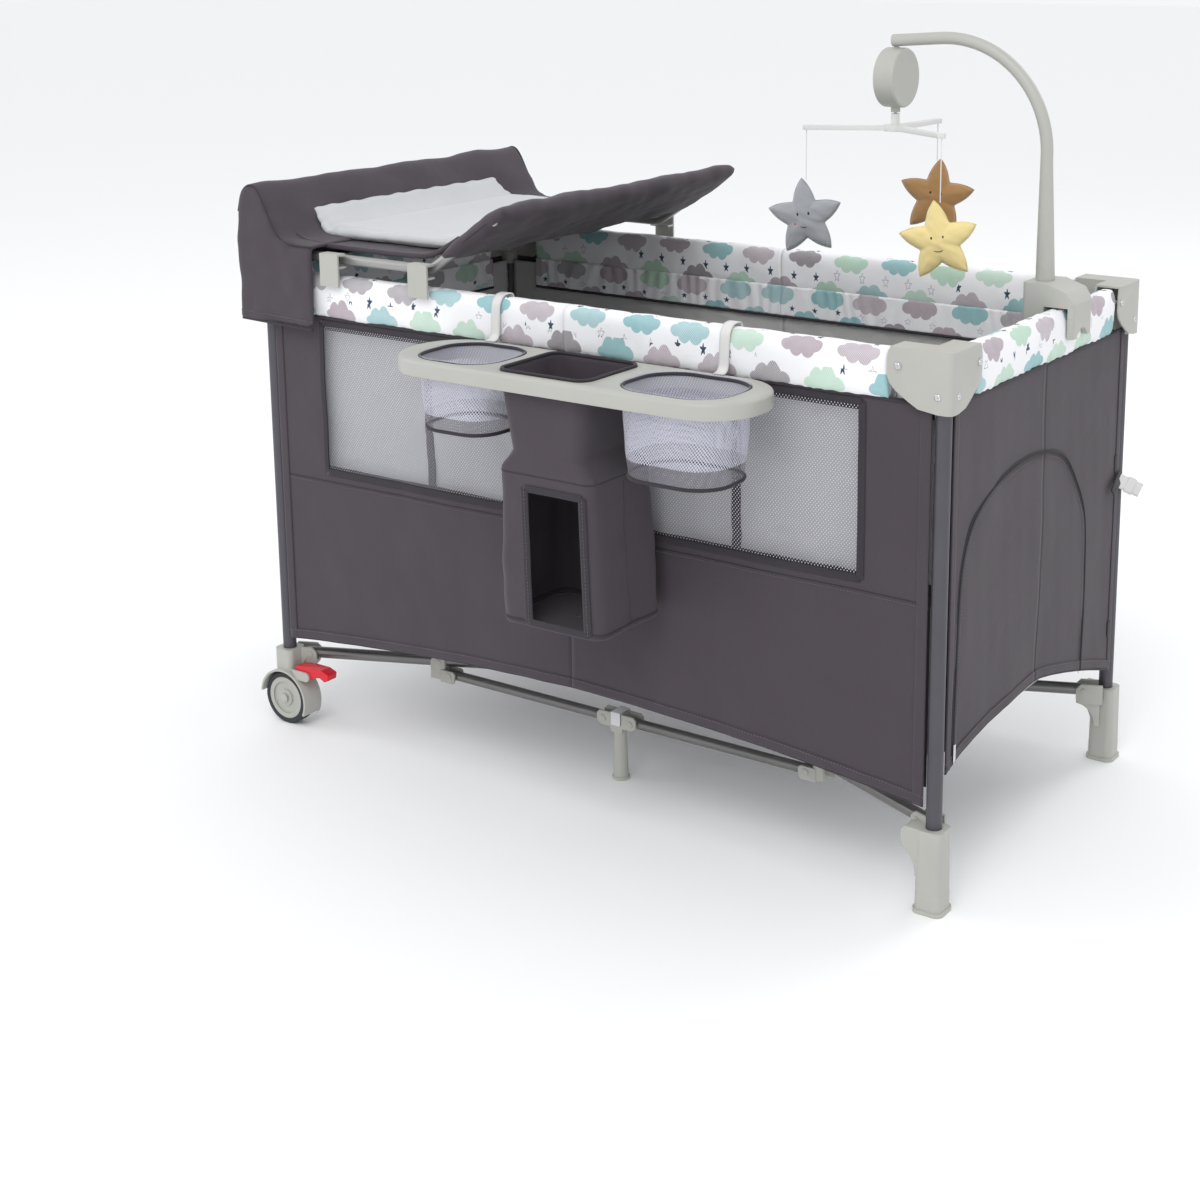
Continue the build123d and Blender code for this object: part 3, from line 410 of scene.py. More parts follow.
def make_materials():
    return {
        "dark": fabric("charcoal_polyester", DARK, sheen=0.12),
        "binding": fabric("charcoal_binding", (0.034, 0.029, 0.036), pitch=0.0018, sheen=0.1, crease=0.1),
        "print": cloud_print("cloud_print_cotton"),
        "net": net("white_knitted_net", (0.80, 0.80, 0.87), pitch=0.0050, hole=0.40),
        "basket": net("basket_net", (0.60, 0.60, 0.70), pitch=0.0044, hole=0.30),
        "dark_net": net("dark_basket_net", (0.20, 0.19, 0.22), pitch=0.0036, hole=0.33),
        "lining": fabric(
            "pale_lining", (0.54, 0.54, 0.525), pitch=0.0016, sheen=0.1, variation=0.05, crease=0.45
        ),
        # Darker copy of the pale lining, used on the lining's outer face behind the net windows: painted shade.
        "lining_painted_shade": fabric("shaded_lining", (0.36, 0.36, 0.375), pitch=0.0016, sheen=0.1, crease=0.6),
        "pad": fabric(
            "pale_quilted_pad", (0.56, 0.57, 0.58), pitch=0.0015, sheen=0.3, variation=0.06, crease=0.3
        ),
        "mattress": fabric(
            "grey_mattress_cloth", (0.36, 0.36, 0.38), pitch=0.0016, sheen=0.2, variation=0.08
        ),
        "webbing": fabric("white_webbing", (0.72, 0.72, 0.74), pitch=0.0022, sheen=0.1, crease=0.05),
        "black_webbing": fabric("black_webbing", (0.03, 0.03, 0.033), pitch=0.0022, sheen=0.1, crease=0.05),
        "plastic": plastic("warm_grey_plastic", LIGHT_PLASTIC),
        "pale_plastic": plastic("pale_plastic", (0.66, 0.66, 0.64), rough=0.35),
        "red": plastic("red_plastic", (0.62, 0.006, 0.02), rough=0.3),
        "tube": metal("dark_grey_tube", (0.20, 0.195, 0.19)),
        "post": metal("slate_post", (0.085, 0.082, 0.095), metallic=0.45, rough=0.42),
        "chrome": metal("bright_rivet", (0.62, 0.62, 0.63), metallic=1.0, rough=0.22),
        "pale_tube": metal("pale_painted_tube", (0.34, 0.34, 0.33), metallic=0.55),
        "tyre": rubber("tyre_rubber", (0.022, 0.024, 0.03)),
        "zip": rubber("zip_tape", (0.012, 0.013, 0.014)),
        "thread": fabric("grey_thread", (0.19, 0.16, 0.18), pitch=0.0006, crease=0.0),
        "string": fabric("white_string", (0.78, 0.78, 0.76), pitch=0.0006, crease=0.0),
        "plush_grey": fabric("grey_plush", (0.33, 0.34, 0.36), pitch=0.0014, sheen=0.6, variation=0.12),
        "plush_tan": fabric("tan_plush", (0.42, 0.23, 0.085), pitch=0.0014, sheen=0.6, variation=0.12),
        "plush_yellow": fabric("yellow_plush", (0.83, 0.68, 0.30), pitch=0.0014, sheen=0.6, variation=0.08),
        "eye": rubber("black_stitching", (0.008, 0.008, 0.010)),
        "cheek": fabric("red_felt", (0.58, 0.012, 0.02), pitch=0.0012, crease=0.0),
    }


# ================================ mesh helpers ================================

def make_object(name, points, faces, uv=None, material=None, smooth=True):
    """Mesh object from points in the yard's own millimetres; uv is one pair per point, in metres."""
    points = np.asarray(points, float).reshape(-1, 3)
    data = bpy.data.meshes.new(name)
    placed = points / 1000 + np.array(CENTRE)
    data.from_pydata(placed.tolist(), [], faces)
    if uv is not None:
        uv = np.asarray(uv, float).reshape(-1, 2)
        layer = data.uv_layers.new(name="UVMap")
        corner = np.empty(len(data.loops), int)
        data.loops.foreach_get("vertex_index", corner)
        layer.data.foreach_set("uv", uv[corner].astype(np.float32).ravel())
    data.polygons.foreach_set("use_smooth", [smooth] * len(data.polygons))
    data.update()
    made = bpy.data.objects.new(name, data)
    scene.collection.objects.link(made)
    if material:
        data.materials.append(MATERIAL[material])
    return made


def grid_faces(rows, columns, closed_rows=False, closed_columns=False, skip=None):
    faces = []
    for i in range(rows if closed_rows else rows - 1):
        for j in range(columns if closed_columns else columns - 1):
            if skip is not None and skip(i, j):
                continue
            i2, j2 = (i + 1) % rows, (j + 1) % columns
            faces.append((i * columns + j, i * columns + j2, i2 * columns + j2, i2 * columns + j))
    return faces


def solidify(made, thickness, offset=0.0):
    thicken = made.modifiers.new("thickness", "SOLIDIFY")
    thicken.thickness = thickness / 1000
    thicken.offset = offset
    return made


def apply_all(made):
    """Bakes the object's modifiers into its mesh."""
    depsgraph = bpy.context.evaluated_depsgraph_get()
    final = bpy.data.meshes.new_from_object(made.evaluated_get(depsgraph), depsgraph=depsgraph)
    old = made.data
    made.modifiers.clear()
    made.data = final
    bpy.data.meshes.remove(old)
    return made


def join(parts, name):
    """Joins several objects into the first one."""
    bpy.ops.object.select_all(action="DESELECT")
    for part in parts:
        part.select_set(True)
    bpy.context.view_layer.objects.active = parts[0]
    if len(parts) > 1:
        bpy.ops.object.join()
    parts[0].name = name
    return parts[0]


def ripple(points, size, seed, waves=10):
    """Smooth cloth-like waves of about the given size in millimetres, between about -1 and 1."""
    dice = np.random.default_rng(seed)
    ways = dice.normal(size=(waves, 3))
    ways *= (TAU / size) * dice.uniform(0.6, 1.5, (waves, 1)) / np.linalg.norm(ways, axis=1, keepdims=True)
    return np.cos(np.asarray(points) @ ways.T + dice.uniform(0, TAU, waves)).sum(-1) / math.sqrt(waves)


def smooth_line(points, count):
    """Evenly spaced points on a smooth curve through the given ones."""
    points = np.asarray(points, float)
    ends = np.vstack([2 * points[0] - points[1], points, 2 * points[-1] - points[-2]])
    fine = []
    for k in range(1, len(ends) - 2):
        a, b, c, d = ends[k - 1:k + 3]
        t = np.linspace(0, 1, 24, endpoint=False)[:, None]
        fine.append(0.5 * (
            2 * b + (c - a) * t + (2 * a - 5 * b + 4 * c - d) * t**2 + (3 * b - a - 3 * c + d) * t**3
        ))
    fine.append(points[-1:])
    return spread(np.vstack(fine), count)


def spread(points, count):
    """The same line with evenly spaced points."""
    points = np.asarray(points, float)
    steps = np.concatenate([[0], np.cumsum(np.linalg.norm(np.diff(points, axis=0), axis=1))])
    marks = np.linspace(0, steps[-1], count)
    return np.column_stack([np.interp(marks, steps, points[:, k]) for k in range(3)])


def tube(name, path, radius, material, sides=8, closed=False, flat=1.0):
    """Round or oval section swept along a line of points."""
    path = np.asarray(path, float)
    if closed:
        ways = np.roll(path, -1, 0) - np.roll(path, 1, 0)
    else:
        ways = np.gradient(path, axis=0)
    ways /= np.linalg.norm(ways, axis=1, keepdims=True)
    side = np.cross(ways[0], (0.0, 0.0, 1.0))
    if np.linalg.norm(side) < 0.2:
        side = np.cross(ways[0], (1.0, 0.0, 0.0))
    rings = []
    for centre, way in zip(path, ways):
        side = side - way * (side @ way)
        side /= np.linalg.norm(side)
        lift = np.cross(way, side)
        angles = np.linspace(0, TAU, sides, endpoint=False)
        rings.append(
            centre + radius * (np.outer(np.cos(angles), side) * flat + np.outer(np.sin(angles), lift))
        )
    faces = grid_faces(len(path), sides, closed_rows=closed, closed_columns=True)
    if not closed:
        faces.append(tuple(range(sides))[::-1])
        faces.append(tuple((len(path) - 1) * sides + k for k in range(sides)))
    return make_object(name, np.vstack(rings), faces, material=material)


def ribbon(name, path, outward, width, height, material):
    """Crowned tape laid on a surface along a line of points; outward is the surface's normal."""
    path = np.asarray(path, float)
    outward = np.asarray(outward, float) / np.linalg.norm(outward)
    ways = np.gradient(path, axis=0)
    across = np.cross(ways, outward)
    across /= np.linalg.norm(across, axis=1, keepdims=True)
    section = [(-0.5, -0.35), (-0.5, 0.35), (-0.3, 0.5), (0.3, 0.5), (0.5, 0.35), (0.5, -0.35)]
    rows = [path + across * (s * width) + outward * ((h + 0.35) * height) for s, h in section]
    points = np.stack(rows, axis=1)
    count = len(section)
    faces = grid_faces(len(path), count, closed_columns=True)
    faces.append(tuple(range(count))[::-1])
    faces.append(tuple((len(path) - 1) * count + k for k in range(count)))
    return make_object(name, points, faces, material=material)


def stitches(name, path, outward, pitch=5.0, length=3.0, material="thread"):
    """A row of short raised stitches along a line of points."""
    path = np.asarray(path, float)
    total = np.linalg.norm(np.diff(path, axis=0), axis=1).sum()
    marks = spread(path, max(3, int(total / pitch)))
    ways = np.gradient(marks, axis=0)
    ways /= np.linalg.norm(ways, axis=1, keepdims=True)
    outward = np.asarray(outward, float)
    across = np.cross(ways, outward)
    points, faces = [], []
    for centre, way, side in zip(marks, ways, across):
        base = len(points)
        for end in (-0.5, 0.5):
            for s, h in ((-0.4, -0.2), (0.0, 0.55), (0.4, -0.2)):
                points.append(centre + way * (end * length) + side * s + outward * h)
        faces += [(base, base + 1, base + 4, base + 3), (base + 1, base + 2, base + 5, base + 4)]
        faces += [
            (base + 2, base, base + 3, base + 5), (base, base + 2, base + 1), (base + 3, base + 4, base + 5)
        ]
    return make_object(name, points, faces, material=material)


def islands(node):
    """The separate solids of a CAD node, each as a list of face indices, largest first."""
    mesh = bmesh.new()
    mesh.from_mesh(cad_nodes[node].data)
    bmesh.ops.remove_doubles(mesh, verts=mesh.verts, dist=1e-6)
    mesh.faces.ensure_lookup_table()
    seen, groups = set(), []
    for face in mesh.faces:
        if face.index in seen:
            continue
        queue, group = [face], []
        seen.add(face.index)
        while queue:
            here = queue.pop()
            group.append(here)
            for edge in here.edges:
                for other in edge.link_faces:
                    if other.index not in seen:
                        seen.add(other.index)
                        queue.append(other)
        groups.append([[tuple(v.co) for v in f.verts] for f in group])
    mesh.free()

    def span(group):
        corners = np.array([p for f in group for p in f])
        return float(np.prod(corners.max(0) - corners.min(0)))

    return sorted(groups, key=span, reverse=True)


def moulded(name, faces, material, bevel=1.2):
    """A CAD solid's own shape with its sharp edges rounded over, as moulding leaves them."""
    data = bpy.data.meshes.new(name)
    mesh = bmesh.new()
    for face in faces:
        mesh.faces.new([mesh.verts.new(p) for p in face])
    bmesh.ops.remove_doubles(mesh, verts=mesh.verts, dist=2e-6)
    bmesh.ops.dissolve_limit(mesh, angle_limit=math.radians(1.0), verts=mesh.verts, edges=mesh.edges)
    mesh.to_mesh(data)
    mesh.free()
    made = bpy.data.objects.new(name, data)
    scene.collection.objects.link(made)
    data.materials.append(MATERIAL[material])
    rounding = made.modifiers.new("edges", "BEVEL")
    rounding.width = bevel / 1000
    rounding.segments = 3
    rounding.limit_method = "ANGLE"
    rounding.angle_limit = math.radians(38)
    rounding.harden_normals = False
    apply_all(made)
    made.data.polygons.foreach_set("use_smooth", [True] * len(made.data.polygons))
    made.data.set_sharp_from_angle(angle=math.radians(35))
    return made


def stand_for(node, body, material, bevel=1.2, materials=None):
    """Replaces a CAD node with its moulded copy, one material per separate solid."""
    parts = []
    for k, group in enumerate(islands(node)):
        look = materials[k] if materials and k < len(materials) else material
        parts.append(moulded(f"{node}_{k}", group, look, bevel))
    whole = join(parts, f"{node}_moulded")
    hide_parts(node)
    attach(whole, body)
    return whole


def dress(node, *materials):
    """Gives a CAD node its materials, one for each separate solid, largest first."""
    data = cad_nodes[node].data
    data.materials.clear()
    for material in materials:
        data.materials.append(MATERIAL[material])
    if len(materials) < 2:
        return
    homes = {}
    for k, group in enumerate(islands(node)):
        for face in group:
            middle = tuple(round(float(c), 5) for c in np.mean(face, axis=0))
            homes[middle] = min(k, len(materials) - 1)
    for polygon in data.polygons:
        middle = tuple(
            round(float(c), 5) for c in np.mean([data.vertices[v].co for v in polygon.vertices], axis=0)
        )
        polygon.material_index = homes.get(middle, 0)


def settle(made, body, slot, *nodes):
    """Rides a finished piece on its body and hides the CAD nodes that it stands for."""
    if nodes:
        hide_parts(*nodes)
    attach(made, body)
    return made


def inflate(made, pressure, cap, frames=18, voxel=5.0):
    """Cloth simulation with air pressure, gravity off; no point moves further than cap millimetres."""
    remesh = made.modifiers.new("even", "REMESH")
    remesh.mode = "VOXEL"
    remesh.voxel_size = voxel / 1000
    apply_all(made)
    before = np.array([v.co for v in made.data.vertices])
    cloth = made.modifiers.new("cloth", "CLOTH")
    cloth.settings.use_pressure = True
    cloth.settings.uniform_pressure_force = pressure
    cloth.settings.effector_weights.gravity = 0
    cloth.settings.quality = 5
    cloth.settings.tension_stiffness = 30
    cloth.settings.compression_stiffness = 30
    cloth.point_cache.frame_start = 1
    cloth.point_cache.frame_end = frames
    for step in range(1, frames + 1):
        scene.frame_set(step)
    apply_all(made)
    after = np.array([v.co for v in made.data.vertices])
    move = after - before
    far = np.linalg.norm(move, axis=1, keepdims=True)
    after = before + move * np.minimum(1, cap / 1000 / np.maximum(far, 1e-9))
    made.data.vertices.foreach_set("co", after.astype(np.float32).ravel())
    scene.frame_set(1)
    relax = made.modifiers.new("relax", "SMOOTH")
    relax.factor = 0.5
    relax.iterations = 6
    apply_all(made)
    made.data.polygons.foreach_set("use_smooth", [True] * len(made.data.polygons))
    return made


# ================================ rail covers ================================

COVER_TOP = 777.5
COVER_LOW = 707.0


def rail_cover(name, body, node, along, side, reach):
    """Padded printed cover of half a rail: along and side are unit directions in plan."""
    rows, columns = 90, 40
    along, side = np.array(along, float), np.array(side, float)
    offset = POST_Y if abs(side[1]) > 0 else POST_X
    middle = (COVER_TOP + COVER_LOW) / 2
    turn = np.linspace(0, TAU, columns, endpoint=False)
    wide = np.sign(np.cos(turn)) * np.abs(np.cos(turn)) ** 0.55
    tall = np.sign(np.sin(turn)) * np.abs(np.sin(turn)) ** 0.80
    step = np.linspace(0.0, reach, rows)
    points = np.zeros((rows, columns, 3))
    half_w, half_h = 17.4, (COVER_TOP - COVER_LOW) / 2
    for i, s in enumerate(step):
        ring = along * s + side * offset
        ease = 1 - 0.10 * math.exp(-(reach - s) / 9)
        points[i, :, 0] = ring[0] + side[0] * wide * half_w * ease
        points[i, :, 1] = ring[1] + side[1] * wide * half_w * ease
        points[i, :, 2] = middle + tall * half_h
    flat = points.reshape(-1, 3)
    puff = ripple(flat, 70, 5 + len(node)) * 0.9 + ripple(flat * np.array([1, 1, 0.35]), 26, 9) * 0.45
    pinch = np.clip((middle - flat[:, 2]) / half_h, 0, 1)
    gather = np.sin(flat[:, 0] * 0.31 + flat[:, 1] * 0.31 + 2 * ripple(flat, 90, 3)) * pinch * 0.7
    outward = np.column_stack([
        np.tile(wide * side[0], rows), np.tile(wide * side[1], rows), np.tile(tall, rows) * 0.6,
    ])
    points = (flat + outward * (puff + gather - 0.6)[:, None]).reshape(rows, columns, 3)
    arc = np.linspace(0, 2 * (2 * half_w + 2 * half_h) / 1000 * 0.86, columns + 1)
    shift = 0.0 if abs(along[0]) > 0 else 0.37
    signed = step * (along[0] + along[1])
    uv = [
        [(signed[i] / 1000 + shift, arc[j] if side[0] + side[1] < 0 else -arc[j]) for j in range(columns)]
        for i in range(rows)
    ]
    caps = [tuple(range(columns))[::-1], tuple((rows - 1) * columns + k for k in range(columns))]
    cover = make_object(name, points, grid_faces(rows, columns, closed_columns=True) + caps, uv, "print")
    fix_wrap(cover)
    steel = moulded(f"{name}_tube", islands(node)[-1], "tube", 0.3)
    settle(steel, body, "grey_tube")
    settle(cover, body, "printed_fabric", node)
    return cover


def fix_wrap(made):
    """Unwraps the one strip of a closed grid whose v coordinate would run backwards."""
    layer = made.data.uv_layers[0].data
    for polygon in made.data.polygons:
        vs = [layer[k].uv[1] for k in polygon.loop_indices]
        if max(vs) - min(vs) > 0.05 and len(vs) == 4:
            top = max(vs, key=abs)
            for k in polygon.loop_indices:
                if abs(layer[k].uv[1]) < abs(top) / 2:
                    layer[k].uv[1] = top + math.copysign(0.004, top)


def make_rails():
    for corner, (sx, sy) in CORNERS.items():
        side, end = corner.split("_")
        node = f"long_rail_{corner}"
        rail_cover(f"rail_cover_long_{corner}", node, node, (sx, 0), (0, sy), 527.0)
        node = f"short_rail_{end}_{side}"
        rail_cover(f"rail_cover_short_{corner}", node, node, (0, sy), (sx, 0), 234.0)


# ================================ fabric walls ================================

WALL_TOP = 712.0
WINDOW_X = 488.0
WINDOW_LOW = 455.0
WINDOW_HIGH = 700.0


def hem_height(share, middle, end):
    """Height of an arched hem, from the middle of a side (0) to its corner (1)."""
    return middle - (middle - end) * (0.35 * share + 0.65 * share**2.4)


def end_hem(share, sy):
    """Height of an end wall's hem, which falls further towards its rear corner."""
    return 232 - 36 * share**2.5 if sy < 0 else 232 - 78 * share**1.3


def wall_grid(sx, sy, long_side, depth, spans, rows, slack, seed):
    """Points of one half panel and the plain position of each, before the cloth's waves."""
    points = np.zeros((len(rows), len(spans), 3))
    if long_side:
        points[..., 0] = sx * np.asarray(spans)[None, :]
        points[..., 1] = sy * depth
        out = np.array([0, sy, 0.0])
    else:
        points[..., 1] = sy * np.asarray(spans)[None, :]
        points[..., 0] = sx * depth
        out = np.array([sx, 0, 0.0])
    points[..., 2] = rows
    flat = points.reshape(-1, 3)
    full = max(spans)
    share = np.tile(np.asarray(spans) / full, len(rows))
    pin = np.clip(np.minimum(1, (1 - share) * 6), 0, 1) * np.clip((WALL_TOP - flat[:, 2]) / 60, 0, 1)
    wave = ripple(
        flat * np.array([1, 1, 0.45]), 210, seed
    ) + 0.4 * ripple(flat * np.array([1, 1, 0.6]), 64, seed + 1)
    flat = flat + out * (slack * wave * pin)[:, None]
    return flat.reshape(points.shape), out


def outer_long(corner, sx, sy):
    """Outer panel of half a long side with its net window, bindings, hem and seam."""
    body = f"corner_{corner}"
    spans = np.concatenate([np.linspace(0.0, WINDOW_X, 62), np.linspace(WINDOW_X, 590, 14)[1:]])
    low = hem_height(spans / 590, 193.0, 152.0)
    rows = np.vstack(
        [low + (WINDOW_LOW - low) * t for t in np.linspace(0, 1, 36)]
        + [np.full_like(spans, z) for z in np.linspace(WINDOW_LOW, WINDOW_HIGH, 30)[1:]]
        + [np.full_like(spans, z) for z in (706.0, WALL_TOP)]
    )
    points, out = wall_grid(sx, sy, True, 311.2, spans, rows, 1.3, 21)
    count = len(spans)
    window_rows, window_columns = range(35, 64), range(0, 61)
    uv = np.stack([points[..., 0] / 1000, points[..., 2] / 1000], axis=-1)
    panel = make_object(
        f"wall_long_{corner}", points,
        grid_faces(len(rows), count, skip=lambda i, j: i in window_rows and j in window_columns),
        uv, "dark",
    )
    solidify(panel, 1.2)
    apply_all(panel)
    pane = make_object(
        f"window_net_{corner}", points - out * 0.6,
        grid_faces(len(rows), count, skip=lambda i, j: not (i in window_rows and j in window_columns)),
        uv, "net",
    )
    clean_loose(pane)
    parts = []
    lift = out * 0.9
    edge = [points[k, 61] + lift for k in range(35, 65)]
    parts.append(ribbon("edge_side", edge, out, 11, 1.4, "binding"))
    for row, width in ((35, 11), (64, 9)):
        parts.append(ribbon("edge_row", points[row, :62] + lift, out, width, 1.4, "binding"))
    seam = points[33, :] + lift * 0.9
    parts.append(tube("seam_low", seam, 1.0, "binding", 6))
    hem = points[1, :] + lift
    parts.append(ribbon("hem", hem, out, 15, 1.3, "dark"))
    parts.append(tube("hem_edge", points[0, :] + lift * 0.5, 1.5, "binding", 8))
    parts.append(ribbon("post_edge", points[:, -2] + lift, out, 16, 1.3, "dark"))
    parts.append(stitches("hem_stitch", points[1, :] + out * 2.1 + np.array([0, 0, 5.0]), out))
    parts.append(stitches("seam_stitch", points[33, :] + out * 0.9 - np.array([0, 0, 5.0]), out))
    trim = join(parts, f"wall_trim_{corner}")
    for piece in (panel, pane, trim):
        settle(piece, body, "charcoal_fabric")
        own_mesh(piece)
    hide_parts(f"fabric_wall_{corner}")


def clean_loose(made):
    mesh = bmesh.new()
    mesh.from_mesh(made.data)
    bmesh.ops.delete(mesh, geom=[v for v in mesh.verts if not v.link_faces], context="VERTS")
    mesh.to_mesh(made.data)
    mesh.free()


def outer_end(corner, sx, sy):
    """Outer panel of half an end with its hem and corner edge."""
    body = f"corner_{corner}"
    spans = np.linspace(0.0, 291, 44)
    low = end_hem(spans / 291, sy)
    rows = np.vstack([low + (WALL_TOP - low) * t for t in np.linspace(0, 1, 60)])
    points, out = wall_grid(sx, sy, False, 611.2, spans, rows, 1.1, 47)
    uv = np.stack([points[..., 1] / 1000, points[..., 2] / 1000], axis=-1)
    panel = make_object(f"wall_end_{corner}", points, grid_faces(len(rows), len(spans)), uv, "dark")
    solidify(panel, 1.2)
    apply_all(panel)
    lift = out * 0.9
    parts = [
        ribbon("hem", points[1, :] + lift, out, 14, 1.3, "dark"),
        tube("hem_edge", points[0, :] + lift * 0.5, 1.5, "binding", 8),
        ribbon("post_edge", points[:, -2] + lift, out, 14, 1.3, "dark"),
        stitches("hem_stitch", points[1, :] + out * 2.1 + np.array([0, 0, 5.0]), out),
    ]
    trim = join(parts, f"end_trim_{corner}")
    for piece in (panel, trim):
        settle(piece, body, "charcoal_fabric")
        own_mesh(piece)


LINING_STRAPS = (0.0, 285.0)


def inner_lining(corner, sx, sy):
    """Inner side: pale cloth with dark straps and borders, and the gathered printed skirt above it; the cloth's outer
    face, seen through the net windows, is a darker copy of the pale cloth, which is painted shade.
    """
    body = f"corner_{corner}"
    for long_side in (True, False):
        full, depth, label = (586, 294.8, "long") if long_side else (286, 594.8, "end")
        spans = np.linspace(0.0, full, 80 if long_side else 40)
        share = spans / full
        low = hem_height(share, 201, 172) if long_side else end_hem(share, sy) + 9
        band = [low + (446 - low) * t for t in np.linspace(0, 1, 14)]
        rows = np.vstack(band + [np.full_like(spans, z) for z in np.linspace(446, 706, 50)[1:]])
        points, out = wall_grid(sx, sy, long_side, depth, spans, rows, 2.2, 77)
        crumple = ripple(points.reshape(-1, 3) * np.array([1, 1, 2.2]), 52, 15).reshape(points.shape[:2])
        points = points - out * (np.abs(crumple) * 1.5 * (rows > 450) * (rows < 690))[..., None]
        uv = np.stack([points[..., 0 if long_side else 1] / 1000, points[..., 2] / 1000], axis=-1)
        cloth = make_object(
            f"lining_{label}_{corner}", points, grid_faces(len(rows), len(spans)), uv, "lining"
        )
        cloth.data.materials.append(MATERIAL["dark"])
        count = len(spans) - 1
        for k, polygon in enumerate(cloth.data.polygons):
            polygon.material_index = 1 if k // count < 13 else 0
        layer = len(cloth.data.polygons)
        solidify(cloth, 0.8)
        apply_all(cloth)
        # The lining's outer face takes the darker copy of the pale cloth: painted shade seen through the net's holes.
        cloth.data.materials.append(MATERIAL["lining_painted_shade"])
        reach = [float(np.dot(polygon.center, out)) for polygon in cloth.data.polygons]
        outer = 0 if sum(reach[:layer]) > sum(reach[layer:2 * layer]) else layer
        for k in range(outer, outer + layer):
            if cloth.data.polygons[k].material_index == 0:
                cloth.data.polygons[k].material_index = 2
        parts = []
        for s in LINING_STRAPS if long_side else (0.0,):
            column = int(np.argmin(np.abs(spans - max(s, 8))))
            parts.append(ribbon("strap", points[12:, column] + out * 1.6, out, 15, 1.0, "binding"))
        for row, width in ((-3, 22), (14, 16)):
            parts.append(ribbon("band", points[row, :] + out * 1.6, out, width, 1.0, "binding"))
        trim = join(parts, f"lining_trim_{label}_{corner}")
        skirt = printed_skirt(corner, sx, sy, long_side)
        for piece in (cloth, trim, skirt):
            settle(piece, body, "printed_fabric" if piece is skirt else "charcoal_fabric")
            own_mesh(piece)


def printed_skirt(corner, sx, sy, long_side):
    """Gathered inner skirt of printed cotton with a dark piping at its bottom."""
    full, depth, label = (527, 287.4, "long") if long_side else (234, 587.4, "end")
    spans = np.linspace(0.0, full, 170 if long_side else 80)
    heights = np.linspace(664, 716, 14)
    points = np.zeros((len(heights), len(spans), 3))
    points[..., 0] = sx * (spans if long_side else depth)
    points[..., 1] = sy * (depth if long_side else spans)
    points[..., 2] = heights[:, None]
    out = np.array([0, sy, 0.0]) if long_side else np.array([sx, 0, 0.0])
    drop = np.clip((716 - points[..., 2]) / 52, 0, 1)
    lead = points[..., 0 if long_side else 1]
    gather = np.sin(lead * 0.26 + 3 * ripple(points.reshape(-1, 3), 120, 8).reshape(drop.shape))
    points = points - out * (gather * (0.6 + 0.9 * (1 - drop)) + 0.4)[..., None]
    shift = 0.0 if long_side else 0.37
    uv = np.stack([lead / 1000 + shift, points[..., 2] / 1000 + 0.012], axis=-1)
    skirt = make_object("skirt", points, grid_faces(len(heights), len(spans)), uv, "print")
    solidify(skirt, 0.9)
    apply_all(skirt)
    piping = tube("piping", points[0, :] - np.array([0, 0, 1.0]), 2.6, "binding", 8)
    return join([skirt, piping], f"printed_skirt_{label}_{corner}")


def outer_piping(corner, sx, sy):
    """Dark welt under the printed cover, where it meets the wall."""
    body = f"corner_{corner}"
    long_line = [(sx * s, sy * (312.5 + 0.5 * math.sin(s / 17)), 708.5) for s in np.linspace(0.2, 560, 60)]
    end_line = [(sx * (612.5 + 0.5 * math.sin(s / 17)), sy * s, 708.5) for s in np.linspace(0.2, 262, 30)]
    for label, line, axis, anchor, keep in (
        ("long", long_line, (1, 0, 0), at(sx * 590, 0, 0), 0.19),
        ("end", end_line, (0, 1, 0), at(0, sy * 291, 0), 0.31),
    ):
        welt = tube(f"welt_{label}_{corner}", line, 2.3, "binding", 8)
        settle(welt, body, "charcoal_fabric")
        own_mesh(welt)


ZIP_PATH = [
    (-271, 206), (-270, 284), (-264, 439), (-251, 497), (-222, 537), (-168, 565), (-99, 580), (-33, 582),
    (29, 573), (80, 552), (118, 513), (150, 467), (165, 416), (170, 307), (167, 194),
]


def make_door():
    """Arched zip door on the foot end, split at the middle so that each half rides its corner."""
    line = smooth_line([(0, y, z) for y, z in ZIP_PATH], 240)
    for corner, keep_side in (("front_right", -1), ("rear_right", 1)):
        half = np.array([p for p in line if p[1] * keep_side >= -1.0])
        half[:, 0] = 613.0
        body = f"corner_{corner}"
        parts = [
            tube("zip_coil", half, 1.6, "zip", 8),
            ribbon("zip_tape", half - np.array([1.1, 0, 0]), (1, 0, 0), 9, 0.9, "binding"),
            stitches("zip_stitch", half + np.array([0.2, 0, 0]) + inward(half, 7.5), (1, 0, 0)),
        ]
        if keep_side < 0:
            parts.append(ribbon(
                "zip_pull", [(614.5, -271, z) for z in np.linspace(232, 206, 8)], (1, 0, 0), 6, 1.8,
                "chrome"
            ))
        zipper = join(parts, f"door_zip_{corner}")
        settle(zipper, body, "charcoal_fabric")
        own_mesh(zipper)


def inward(line, distance):
    """Offset of a line in the YZ plane to one side of it."""
    ways = np.gradient(line, axis=0)
    side = np.column_stack([np.zeros(len(line)), ways[:, 2], -ways[:, 1]])
    return side / np.linalg.norm(side, axis=1, keepdims=True) * distance


